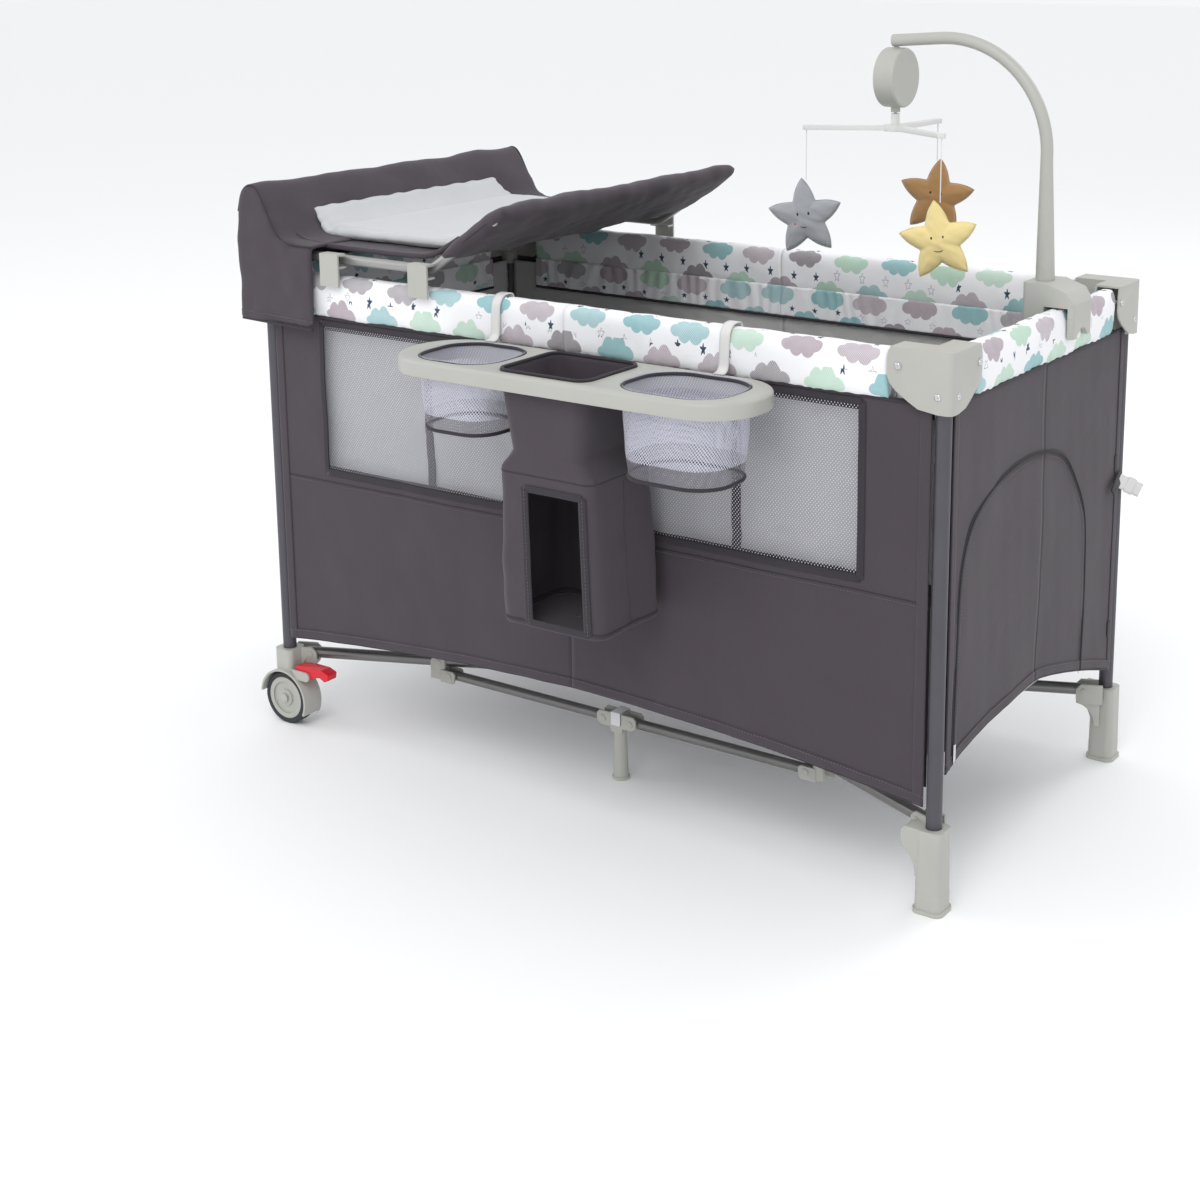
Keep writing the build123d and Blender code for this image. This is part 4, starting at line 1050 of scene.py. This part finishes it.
def make_buckle():
    """Small side-release buckle on the rear of the foot end, with its webbing, and two sewn tabs."""
    web = smooth_line([(613, 300, 470), (617, 285, 474), (621, 262, 468), (622, 246, 458)], 24)
    parts = [ribbon("web", web, (1, 0.1, 0.2), 18, 1.6, "black_webbing")]
    facing = np.array([0.34, -0.90, 0.28])
    case = smooth_line([(617, 282, 470), (626, 300, 460), (640, 318, 448)], 30)
    for first, last, wide in ((0, 12, 22), (11, 22, 26), (21, 30, 22)):
        parts.append(ribbon("shell", case[first:last], facing, wide, 5.0, "pale_plastic"))
    buckle = join(parts, "side_buckle")
    settle(buckle, "corner_rear_right", "white_plastic")
    tabs = [ribbon("tab", [(612.4, 279, z) for z in np.linspace(z0, z0 - 26, 8)], (1, 0, 0), 12, 1.4, "black_webbing")
            for z0 in (511, 240)]
    tab = join(tabs, "sewn_tabs")
    settle(tab, "corner_rear_right", "charcoal_fabric")
    for piece in (buckle, tab):
        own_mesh(piece)


def make_walls():
    for corner, (sx, sy) in CORNERS.items():
        outer_long(corner, sx, sy)
        outer_end(corner, sx, sy)
        inner_lining(corner, sx, sy)
        outer_piping(corner, sx, sy)
    make_door()
    make_buckle()


# ================================ mattress ================================


def make_mattress():
    """Four padded quarters, swollen by cloth simulation and then quilted in diamonds."""
    for corner, (sx, sy) in CORNERS.items():
        low, high = local_box(f"mattress_{corner}")
        outline = [(6, 48), (6, 282), (537, 282), (581, 238), (581, 6), (48, 6)]
        points = [(sx * x, sy * y, z) for z in (low.z + 3, high.z - 6) for x, y in outline]
        n = len(outline)
        faces = [tuple(range(n)), tuple(range(n, 2 * n))[::-1]]
        faces += [(k, k + n, (k + 1) % n + n, (k + 1) % n) for k in range(n)]
        pad = make_object(f"mattress_pad_{corner}", points, faces, material="mattress")
        fix_normals(pad)
        inflate(pad, 3.0, 5.0, frames=10, voxel=8.0)
        quilt(pad, high.z, 68.0, 3.2)
        settle(pad, f"brace_{corner}", "quilted_fabric", f"mattress_{corner}")
        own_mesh(pad)


def fix_normals(made):
    mesh = bmesh.new()
    mesh.from_mesh(made.data)
    bmesh.ops.recalc_face_normals(mesh, faces=mesh.faces)
    mesh.to_mesh(made.data)
    mesh.free()


def quilt(made, top, pitch, depth):
    """Presses diamond channels into a pad's upper side and keeps it under its top height."""
    co = np.array([v.co for v in made.data.vertices])
    own = (co - np.array(CENTRE)) * 1000
    up = np.array([v.normal.z for v in made.data.vertices])
    for a in (own[:, 0] + own[:, 1], own[:, 0] - own[:, 1]):
        near = np.abs((a / (pitch * math.sqrt(2)) + 0.5) % 1 - 0.5) * pitch
        own[:, 2] -= depth * np.exp(-((near / 6.0) ** 2)) * np.clip(up, 0, 1)
    own[:, 2] = np.minimum(own[:, 2], top + 1.5)
    made.data.vertices.foreach_set("co", (own / 1000 + np.array(CENTRE)).astype(np.float32).ravel())
    made.data.update()


# ================================ changing table ================================

HOOD_PROFILE = [
    (-642, 694), (-644, 750), (-645, 820), (-642, 868), (-633, 897), (-619, 910), (-606, 910), (-594, 898),
    (-578, 868), (-562, 840), (-550, 829), (-536, 824), (-510, 822), (-484, 822),
]
WING_PROFILE = [(-236, 826), (-222, 833), (-200, 848), (-170, 868), (-140, 888), (-108, 908)]


def rows_to_mesh(name, rows, material):
    points = np.array(rows)
    return make_object(name, points, grid_faces(points.shape[0], points.shape[1]), material=material)


def make_hood():
    """Fabric pocket over the caster end: the sling's high wing, dropped over the rail's corners."""
    half = 331.0
    line = smooth_line([(x, 0, z) for x, z in HOOD_PROFILE], 74)
    wide = np.linspace(-half, half, 84)
    rows = []
    for x, _, z in line:
        sag = 3.0 * math.sin(math.pi * min(1, max(0, (z - 690) / 220)))
        rows.append([(x - (sag * math.cos(y / half * 1.5) if x < -630 else 0), y,
                      z - (2.5 * math.cos(y / half * 1.4) if z > 890 else 0)) for y in wide])
    sheets = [rows_to_mesh("hood_top", rows, "dark")]
    xs = np.linspace(line[:, 0].min(), -484, 40)
    upper = [float(line[np.argsort(np.abs(line[:, 0] - x))[:3], 2].max()) for x in xs]
    for sy in (-1, 1):
        side = [
            [(x, sy * half, 694 + (top - 694) * t) for x, top in zip(xs, upper)]
            for t in np.linspace(0, 1, 34)
        ]
        sheets.append(rows_to_mesh("hood_side", side, "dark"))
    hood = join(sheets, "changer_hood")
    mesh = bmesh.new()
    mesh.from_mesh(hood.data)
    bmesh.ops.remove_doubles(mesh, verts=mesh.verts, dist=0.004)
    mesh.to_mesh(hood.data)
    mesh.free()
    solidify(hood, 7.0)
    remesh = hood.modifiers.new("fuse", "REMESH")
    remesh.mode = "VOXEL"
    remesh.voxel_size = 0.0038
    relax = hood.modifiers.new("relax", "SMOOTH")
    relax.factor = 0.5
    relax.iterations = 14
    apply_all(hood)
    wave_mesh(hood, ((150, 1.6, 31), (46, 0.6, 32)))
    edge = np.array([(x, 0, z) for x, z in HOOD_PROFILE[3:]])
    parts = [hood]
    for sy in (-1, 1):
        seam = smooth_line(edge + np.array([0, sy * (half - 0.5), 0.5]), 60)
        parts.append(tube("hood_seam", seam, 1.5, "binding", 6))
        bottom = smooth_line([(-642, sy * 332, 700), (-560, sy * 333, 698), (-486, sy * 333, 696)], 40)
        parts.append(stitches("hood_stitch", bottom + np.array([0, sy * 2.6, 8]), (0, sy, 0)))
        parts.append(tube("hood_hem", bottom - np.array([0, 0, 5]), 2.2, "binding", 8))
    front = smooth_line(
        [(-642, -330, 695), (-646, -200, 693), (-647, 0, 692), (-646, 200, 693), (-642, 330, 695)], 60
    )
    parts.append(tube("hood_hem", front, 2.2, "binding", 8))
    hood = join(parts, "changer_hood")
    hood.data.polygons.foreach_set("use_smooth", [True] * len(hood.data.polygons))
    settle(hood, "changer", "charcoal_fabric", "changer_cover")


def wave_mesh(made, layers):
    """Moves a mesh's points along their normals by a few layers of cloth waves."""
    co = np.array([v.co for v in made.data.vertices])
    own = (co - np.array(CENTRE)) * 1000
    normal = np.array([v.normal for v in made.data.vertices])
    move = sum(depth * ripple(own, size, seed) for size, depth, seed in layers)
    own = own + normal * move[:, None]
    made.data.vertices.foreach_set("co", (own / 1000 + np.array(CENTRE)).astype(np.float32).ravel())
    made.data.update()


def make_wing():
    """Padded pocket over the sling's other tube, closed all round like a flat pillow."""
    half = 318.0
    line = smooth_line([(x, 0, z) for x, z in WING_PROFILE], 40)
    ways = np.gradient(line, axis=0)
    lift = np.column_stack([-ways[:, 2], np.zeros(len(line)), ways[:, 0]])
    lift /= np.linalg.norm(lift, axis=1, keepdims=True)
    across = np.linspace(-1, 1, 80)
    share = np.linspace(0, 1, len(line))
    thick = 17.0 * np.sqrt(np.clip(1 - np.abs(share * 2 - 1) ** 3.2, 0, 1)) * (0.72 + 0.28 * share) + 0.4
    taper = np.sqrt(np.clip(1 - np.abs(across) ** 30, 0, 1))
    layers = []
    for side in (1, -1):
        layers.append([
            [tuple(p + l * side * t * w + (0, y * half, 0)) for y, w in zip(across, taper)]
            for p, l, t in zip(line, lift, thick)
        ])
    wing = join([rows_to_mesh("wing", layer, "dark") for layer in layers], "changer_wing")
    mesh = bmesh.new()
    mesh.from_mesh(wing.data)
    bmesh.ops.remove_doubles(mesh, verts=mesh.verts, dist=0.0009)
    bmesh.ops.recalc_face_normals(mesh, faces=mesh.faces)
    mesh.to_mesh(wing.data)
    mesh.free()
    inflate(wing, 1.5, 4.0, frames=8, voxel=5.0)
    wave_mesh(wing, ((120, 1.4, 51), (38, 0.7, 52)))
    parts = [wing]
    rim = smooth_line(
        [tuple(line[4] + (0, -311, -1)), tuple(line[20] + (0, -314, -1)), tuple(line[-3] + (0, -312, 0))],
        40
    )
    for flip in (1, -1):
        parts.append(tube("wing_seam", rim * np.array([1, flip, 1]), 1.4, "binding", 6))
    wing = join(parts, "changer_wing")
    settle(wing, "changer", "charcoal_fabric")


def make_sling():
    """Dark sheet of the sling between its two wings, wrapped over the side tubes."""
    line = smooth_line([(-556, 0, 833), (-540, 0, 824), (-500, 0, 820), (-400, 0, 818), (-300, 0, 819),
                        (-268, 0, 824), (-240, 0, 838), (-214, 0, 853)], 60)
    wide = np.linspace(-291, 291, 70)
    rows = [[(x, y, z + 2.0 * (abs(y) / 291) ** 6) for y in wide] for x, _, z in line]
    sling = rows_to_mesh("changer_sling", rows, "dark")
    solidify(sling, 3.0)
    apply_all(sling)
    wave_mesh(sling, ((140, 0.8, 61),))
    parts = [sling]
    for sy in (-1, 1):
        edge = [(x, sy * 292, z + 1.5) for x, _, z in line]
        parts.append(tube("sling_edge", edge, 4.2, "dark", 10, flat=0.6))
        parts.append(stitches("sling_stitch", np.array(edge) + np.array([0, -sy * 7, 2.4]), (0, 0, 1)))
    sling = join(parts, "changer_sling")
    settle(sling, "changer", "charcoal_fabric")


def make_changer_pad():
    """Pale quilted pad in the valley, inflated, then stitched across."""
    upper = [(-574, 874), (-560, 853), (-546, 838), (-534, 834), (-410, 833), (-286, 834), (-272, 840),
             (-246, 855), (-219, 875)]
    line = smooth_line([(x, 0, z) for x, z in upper], 60)
    wide = np.linspace(-1, 1, 60)
    layers = []
    for drop in (3.0, -6.0):
        rows = []
        for k, (x, _, z) in enumerate(line):
            half = 246 * (1 - 0.06 * (abs(k / 59 * 2 - 1) ** 6))
            rows.append([(x, y * half, z + drop) for y in wide])
        layers.append(rows)
    top, bottom = np.array(layers[0]), np.array(layers[1])
    rows, columns = top.shape[:2]
    count = rows * columns
    faces = grid_faces(rows, columns)
    faces += [tuple(k + count for k in f[::-1]) for f in grid_faces(rows, columns)]
    border = [(0, j) for j in range(columns)] + [(i, columns - 1) for i in range(1, rows)]
    border += [(rows - 1, j) for j in range(columns - 2, -1, -1)] + [(i, 0) for i in range(rows - 2, 0, -1)]
    ids = [i * columns + j for i, j in border]
    faces += [(a, b, b + count, a + count) for a, b in zip(ids, ids[1:] + ids[:1])]
    pad = make_object(
        "changer_pad_quilted", np.vstack([top.reshape(-1, 3), bottom.reshape(-1, 3)]), faces, material="pad"
    )
    fix_normals(pad)
    inflate(pad, 4.0, 5.0, frames=16, voxel=4.5)
    co = np.array([v.co for v in pad.data.vertices])
    own = (co - np.array(CENTRE)) * 1000
    up = np.clip(np.array([v.normal.z for v in pad.data.vertices]), 0, 1)
    for centre in (-535, -285):
        own[:, 2] -= 3.0 * np.exp(-(((own[:, 0] - centre) / 4.5) ** 2)) * up
    for centre in (-229, 229):
        own[:, 2] -= 2.4 * np.exp(-(((own[:, 1] - centre) / 3.5) ** 2)) * up
    pleat = np.sin(
        own[:, 1] * 0.12 + ripple(own, 90, 6)
    ) * np.clip((np.abs(own[:, 0] + 410) - 130) / 20, 0, 1)
    own[:, 2] += 1.1 * pleat * up
    pad.data.vertices.foreach_set("co", (own / 1000 + np.array(CENTRE)).astype(np.float32).ravel())
    pad.data.update()
    settle(pad, "changer", "quilted_fabric", "changer_pad")


def make_changer():
    make_hood()
    make_wing()
    make_sling()
    make_changer_pad()
    dress("changer_frame", "pale_tube")
    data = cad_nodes["changer_frame"].data
    data.materials.append(MATERIAL["plastic"])
    for polygon in data.polygons:
        y = abs(polygon.center.y - CENTRE.y) * 1000
        x = (polygon.center.x - CENTRE.x) * 1000
        near_hook = any(abs(x - hook) < 22 for hook in (-449, -267))
        if near_hook and y > 311.3:
            polygon.material_index = 1


# ================================ organizer ================================

def rounded_outline(x, y, width, depth, radius, count=96):
    """Points round a rectangle with rounded corners, from the middle of its rear side."""
    half_w, half_d = width / 2 - radius, depth / 2 - radius
    line = [(0, half_d + radius)]
    for cx, cy, start in (
        (half_w, half_d, 90), (half_w, -half_d, 0), (-half_w, -half_d, -90), (-half_w, half_d, -180)
    ):
        for k in range(13):
            angle = math.radians(start - 7.5 * k)
            line.append((cx + radius * math.cos(angle), cy + radius * math.sin(angle)))
    line.append((0, half_d + radius))
    even = spread(np.array([(a, b, 0) for a, b in line]), count + 1)[:-1]
    return even[:, :2] + np.array([x, y])


TRAY_Y = -409


def make_basket(label, x, top, bottom, z_low, seed):
    """Net basket with piped rims: pale net above, a dark band and floor below."""
    z_top = 716.0
    rows, columns = 26, 96
    points, uv = [], []
    for k in range(rows):
        share = k / (rows - 1)
        size = [a + (b - a) * share for a, b in zip(top, bottom)]
        bulge = 2.4 * math.sin(math.pi * share)
        ring = rounded_outline(x, TRAY_Y, size[0] + bulge, size[1] + bulge, size[2], columns)
        z = z_top + (z_low - z_top) * share
        points.append([(a, b, z) for a, b in ring])
        uv.append([(j * sum(size[:2]) * 2 / columns / 1000 * 0.86, z / 1000) for j in range(columns)])
    points = np.array(points)
    wave = ripple(points.reshape(-1, 3), 60, seed).reshape(rows, columns)
    mid = np.array([x, TRAY_Y, 0])
    out = (points - mid) * np.array([1, 1, 0])
    out /= np.linalg.norm(out, axis=-1, keepdims=True)
    points = points + out * (wave * 0.8)[..., None]
    side = make_object("side", points, grid_faces(rows, columns, closed_columns=True), uv, "basket")
    side.data.materials.append(MATERIAL["dark_net"])
    for k, polygon in enumerate(side.data.polygons):
        polygon.material_index = 1 if k // columns >= rows - 6 else 0
    floor_rings = [
        mid + (points[-1] - mid) * np.array([s, s, 1]) - np.array([0, 0, 3 * (1 - s)])
        for s in np.linspace(1, 0.02, 10)
    ]
    floor_points = np.array(floor_rings)
    floor_uv = floor_points[..., :2] / 1000
    floor = make_object(
        "floor_net", floor_points, grid_faces(10, columns, closed_columns=True), floor_uv, "dark_net"
    )
    rims = [
        tube("rim", points[1], 2.6, "binding", 8, closed=True),
        tube("rim", points[-1], 2.8, "binding", 8, closed=True),
    ]
    return join([side, floor, *rims], f"basket_{label}")


STACKER_WINDOW = (50, 150, 360, 552)


def make_stacker():
    """Soft bag: straight bin at the top, flared body below with a bound window in its front."""
    levels = [
        (715, 154, 136, 20, -409, 78), (660, 146, 130, 20, -409, 78), (600, 128, 121, 18, -409, 78),
        (588, 146, 134, 16, -405, 80), (578, 164, 145, 14, -404, 82), (560, 167, 146, 16, -404, 82),
        (440, 176, 148, 20, -404, 85), (380, 182, 149, 24, -404, 87), (356, 183, 149, 24, -404, 88),
        (351, 180, 147, 23, -404, 88),
    ]
    zs = np.concatenate([
        np.linspace(715, 592, 16), np.linspace(588, 560, 6), np.linspace(552, 372, 30), [364, 358, 354, 351]
    ])
    columns = 160
    heights = np.array([l[0] for l in levels])[::-1]
    rings = []
    for z in zs:
        w, d, r, cy, cx = (
            float(np.interp(z, heights, np.array([l[k] for l in levels])[::-1])) for k in range(1, 6)
        )
        ring = rounded_outline(cx, cy, w, d, r, columns)
        rings.append([(a, b, z) for a, b in ring])
    points = np.array(rings)
    x0, x1, z0, z1 = STACKER_WINDOW
    front = int(np.argmin(np.abs(points[30, :, 0] - 100) + (points[30, :, 1] > -420) * 1e3))
    left = [j for j in range(front, front + 45) if points[30, j, 0] <= x0][0]
    right = [j for j in range(front, front - 45, -1) if points[30, j, 0] >= x1][0]
    inside = range(right, left)
    opening = [i for i, z in enumerate(zs[:-1]) if z0 < (z + zs[i + 1]) / 2 < z1]
    flat = points.reshape(-1, 3)
    mid = np.array([85, -405, 0])
    out = (flat - mid) * np.array([1, 1, 0])
    out /= np.linalg.norm(out, axis=-1, keepdims=True)
    loose = np.clip((600 - flat[:, 2]) / 60, 0.25, 1)
    near_window = np.exp(-((flat[:, 0] - 100) / 90) ** 2) * (flat[:, 1] < -455)
    wave = ripple(
        flat * np.array([1, 1, 0.5]), 90, 71
    ) * 2.0 + ripple(flat * np.array([1, 1, 0.6]), 34, 72) * 0.7
    flat = flat + out * (wave * loose * (1 - 0.8 * near_window) - 1.6)[:, None]
    points = flat.reshape(points.shape)
    bag = make_object("bag", points, grid_faces(len(zs), columns, closed_columns=True,
                                                skip=lambda i, j: i in opening and j in inside), material="dark")
    base_rings = [mid + (points[-1] - mid) * np.array([s, s, 1]) for s in np.linspace(1, 0.02, 12)]
    base = make_object(
        "base", np.array(base_rings), grid_faces(12, columns, closed_columns=True), material="dark"
    )
    shelf_ring = points[20]
    shelf = make_object("shelf", np.array([mid + (shelf_ring - mid) * np.array([s, s, 1]) for s in np.linspace(0.99, 0.02, 12)]),
                        grid_faces(12, columns, closed_columns=True), material="dark")
    bag = join([bag, base, shelf], "stacker")
    solidify(bag, 1.6)
    apply_all(bag)
    forward = np.array([0, -1.0, 0])
    top_i, low_i = opening[0], opening[-1] + 1
    sides = [points[top_i:low_i + 1, column] for column in (right, left)]
    ends = [points[row, right:left + 1] for row in (top_i, low_i)]
    parts = [bag]
    for line in sides:
        parts.append(ribbon("window_side", line + forward * 0.9, forward, 13, 1.6, "binding"))
        parts.append(stitches("window_stitch", line + forward * 2.6, forward))
    for line in ends:
        parts.append(ribbon("window_end", line + forward * 0.9, forward, 10, 1.6, "binding"))
    parts.append(tube("bin_rim", points[0] + np.array([0, 0, 0.5]), 2.6, "binding", 8, closed=True))
    parts.append(tube("body_seam", points[19], 1.6, "binding", 6, closed=True))
    parts.append(tube("base_piping", points[-3], 2.6, "binding", 8, closed=True))
    for j in (40, 120):
        parts.append(tube("side_seam", points[20:, j], 1.2, "binding", 6))
    whole = join(parts, "diaper_stacker_bag")
    settle(whole, "organizer", "charcoal_fabric", "diaper_stacker")


HOOK_STRAP_X = (-122, 279)


def make_hook_straps():
    """Two straps from the tray's rim up and over the rail's cover."""
    profile = [(-338, 716), (-331, 717), (-325, 724), (-323, 745), (-321, 768), (-313, 779.5), (-303, 782),
               (-292, 780.5), (-287, 772)]
    sheets = []
    for x in HOOK_STRAP_X:
        line = smooth_line([(x, y, z) for y, z in profile], 60)
        rows = [[tuple(p + np.array([a, 0, 0])) for a in (-8, -4, 0, 4, 8)] for p in line]
        sheets.append(rows_to_mesh("strap", rows, "pale_plastic"))
    straps = join(sheets, "organizer_hook_straps")
    solidify(straps, 2.0)
    apply_all(straps)
    settle(straps, "organizer", "grey_plastic", "organizer_straps")


def make_organizer():
    stand_for("organizer_tray", "organizer", "plastic", bevel=2.2)
    left = make_basket("left", -95, (139, 135, 51), (127, 119, 46), 609, 81)
    right = make_basket("right", 274, (169, 135, 55), (155, 121, 50), 589, 83)
    settle(left, "organizer", "mesh_fabric", "organizer_baskets")
    settle(right, "organizer", "mesh_fabric")
    make_stacker()
    make_hook_straps()


# ================================ mobile ================================

def star_radius(angle, size):
    """Rounded five-pointed outline, one point straight up at angle 90 degrees."""
    part = abs(((angle - math.pi / 2) / (TAU / 5) + 0.5) % 1 - 0.5) * 2
    return size * (0.50 + 0.50 * (1 - part) ** 1.45 * (1 - 0.05 * (1 - part)))


def make_star(name, centre, size, thick, tilt, turn, material):
    """Stuffed star with a stitched face: puffed front and back, seamed round its edge."""
    columns, rows = 160, 12
    across = np.array([math.cos(turn), math.sin(turn), 0])
    facing = np.array([math.sin(turn), -math.cos(turn), 0])
    up = np.array([0, 0, 1.0])
    across, up = across * math.cos(tilt) + up * math.sin(tilt), up * math.cos(tilt) - across * math.sin(tilt)
    centre = np.array(centre, float)

    def spot(u, v, out):
        return centre + across * u + up * v + facing * out

    angles = np.linspace(0, TAU, columns, endpoint=False)
    radii = np.array([star_radius(a, size) for a in angles])

    def puff(share, radius):
        return thick / 2 * math.sqrt(
            max(0, 1 - share**2.4)
        ) * (0.35 + 0.65 * (1 - share * radius / size) ** 0.6)

    halves = []
    for side in (1, -1):
        shares = np.linspace(1, 0.02, rows)
        points = [[
            spot(s * r * math.cos(a), s * r * math.sin(a), side * puff(s, r)) for a, r in zip(angles, radii)
        ] for s in shares]
        halves.append(make_object(
            "half", np.array(points), grid_faces(rows, columns, closed_columns=True), material=material
        ))
    body = join(halves, "body")
    mesh = bmesh.new()
    mesh.from_mesh(body.data)
    bmesh.ops.remove_doubles(mesh, verts=mesh.verts, dist=0.0008)
    bmesh.ops.holes_fill(mesh, edges=[e for e in mesh.edges if len(e.link_faces) == 1])
    bmesh.ops.recalc_face_normals(mesh, faces=mesh.faces)
    mesh.to_mesh(body.data)
    mesh.free()
    body.data.polygons.foreach_set("use_smooth", [True] * len(body.data.polygons))
    wave_mesh(body, ((16, 0.5, 91),))
    seam = tube(
        "seam", [spot(r * math.cos(a), r * math.sin(a), 0) for a, r in zip(angles, radii)], 0.7, material,
        6, closed=True
    )
    front = thick / 2 * 0.98

    def dab(u, v, wide, tall, out, look):
        rings = []
        for share in np.linspace(1, 0.04, 6):
            rise = out + 1.3 * math.sqrt(1 - share**2 * 0.98)
            rings.append([
                spot(u + wide * share * math.cos(a), v + tall * share * math.sin(a), rise)
                for a in np.linspace(0, TAU, 20, endpoint=False)
            ])
        return make_object("dab", np.array(rings), grid_faces(6, 20, closed_columns=True), material=look)

    parts = [body, seam]
    for u in (-8.5, 8.5):
        parts.append(dab(u, 6.5, 1.9, 3.1, front * 0.86, "eye"))
    parts.append(dab(-13.5, -8.5, 3.1, 3.1, front * 0.70, "cheek"))
    parts.append(dab(11.5, -9.5, 3.6, 3.6, front * 0.72, "cheek"))
    smile = [
        spot(u, -13.5 + 5.5 * (u / 12) ** 2, front * (0.93 - 0.22 * (abs(u) / 12) ** 2))
        for u in np.linspace(-12, 10, 24)
    ]
    parts.append(tube("smile", smile, 0.55, "eye", 6))
    return join(parts, name)


def make_mobile():
    for node, material, bevel in (
        ("mobile_clamp", "plastic", 1.6), ("mobile_spider", "pale_plastic", 0.9),
    ):
        body = "mobile" if node == "mobile_clamp" else "mobile_spinner"
        stand_for(node, body, material, bevel)
    dress("mobile_mast", "plastic")
    dress("music_box", "plastic")
    dress("mobile_strings", "string")
    centres = []
    for group in islands("plush_stars"):
        corners = np.array([p for face in group for p in face])
        centres.append(((corners.min(0) + corners.max(0)) / 2 - np.array(CENTRE)) * 1000)
    centres.sort(key=lambda c: c[0])
    looks = {0: ("grey", 0.12, 0.22), 1: ("tan", -0.10, 0.32), 2: ("yellow", 0.16, 0.27)}
    for k, centre in enumerate(centres):
        colour, tilt, turn = looks[k]
        star = make_star(f"plush_star_{colour}", centre, 61.5, 26.0, tilt, turn, f"plush_{colour}")
        if k == 0:
            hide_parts("plush_stars")
        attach(star, "mobile_spinner")


# ================================ hard parts ================================

def make_screws():
    """Cross-head screws on the outer cheeks of each corner bracket."""
    for corner, (sx, sy) in CORNERS.items():
        heads = []
        for x, y, z, way in (
            (sx * 545, sy * 324.8, 757, (0, sy, 0)), (sx * 624.8, sy * 245, 757, (sx, 0, 0)),
            (sx * 603, sy * 323.4, 722, (0, sy, 0)), (sx * 623.4, sy * 303, 722, (sx, 0, 0)),
        ):
            heads.append(screw(np.array((x, y, z), float), np.array(way, float)))
        group = join(heads, f"bracket_screws_{corner}")
        settle(group, f"corner_{corner}", "light_tube")


def screw(centre, way, radius=4.6):
    """Domed head with a cross recess."""
    side = np.cross(way, (0, 0, 1.0))
    rings, columns = [], 32
    for share, rise in ((1.0, -0.4), (1.0, 0.5), (0.92, 1.0), (0.7, 1.5), (0.4, 1.75), (0.12, 1.8)):
        ring = []
        for a in np.linspace(0, TAU, columns, endpoint=False):
            u, v = share * radius * math.cos(a), share * radius * math.sin(a)
            slot = min(abs(u), abs(v)) < 0.55 and share < 0.75
            ring.append(centre + side * u + np.array((0, 0, 1.0)) * v + way * (rise - (1.1 if slot else 0)))
        rings.append(ring)
    faces = grid_faces(
        len(rings), columns, closed_columns=True
    ) + [tuple((len(rings) - 1) * columns + k for k in range(columns))]
    return make_object("screw", np.array(rings), faces, material="chrome")


def make_hard_parts():
    for corner, (sx, sy) in CORNERS.items():
        body = f"corner_{corner}"
        stand_for(f"corner_bracket_{corner}", body, "plastic", 1.6)
        stand_for(f"brace_clip_{corner}", f"clip_{corner}", "plastic", 0.9)
        dress(f"post_tube_{corner}", "post")
        dress(f"base_brace_{corner}", "tube")
        dress(f"cross_bar_{corner}", "tube")
        if sx < 0:
            stand_for(f"caster_housing_{corner}", body, "plastic", 0.9)
            stand_for(f"brake_lever_{corner}", f"brake_lever_{corner}", "red", 2.0)
            dress(f"caster_wheel_{corner}", "tyre", "plastic")
        else:
            stand_for(f"foot_{corner}", body, "plastic", 1.4)
    for side in ("front", "rear"):
        stand_for(
            f"middle_leg_{side}", f"middle_leg_{side}", "plastic", 0.8,
            ["plastic", "webbing"]
        )
    stand_for("base_hub", "hub", "plastic", 0.9, ["plastic", "black_webbing"])
    make_screws()


MATERIAL = make_materials()
make_camera()
make_stage()
make_hard_parts()
make_rails()
make_walls()
make_mattress()
make_changer()
make_organizer()
make_mobile()
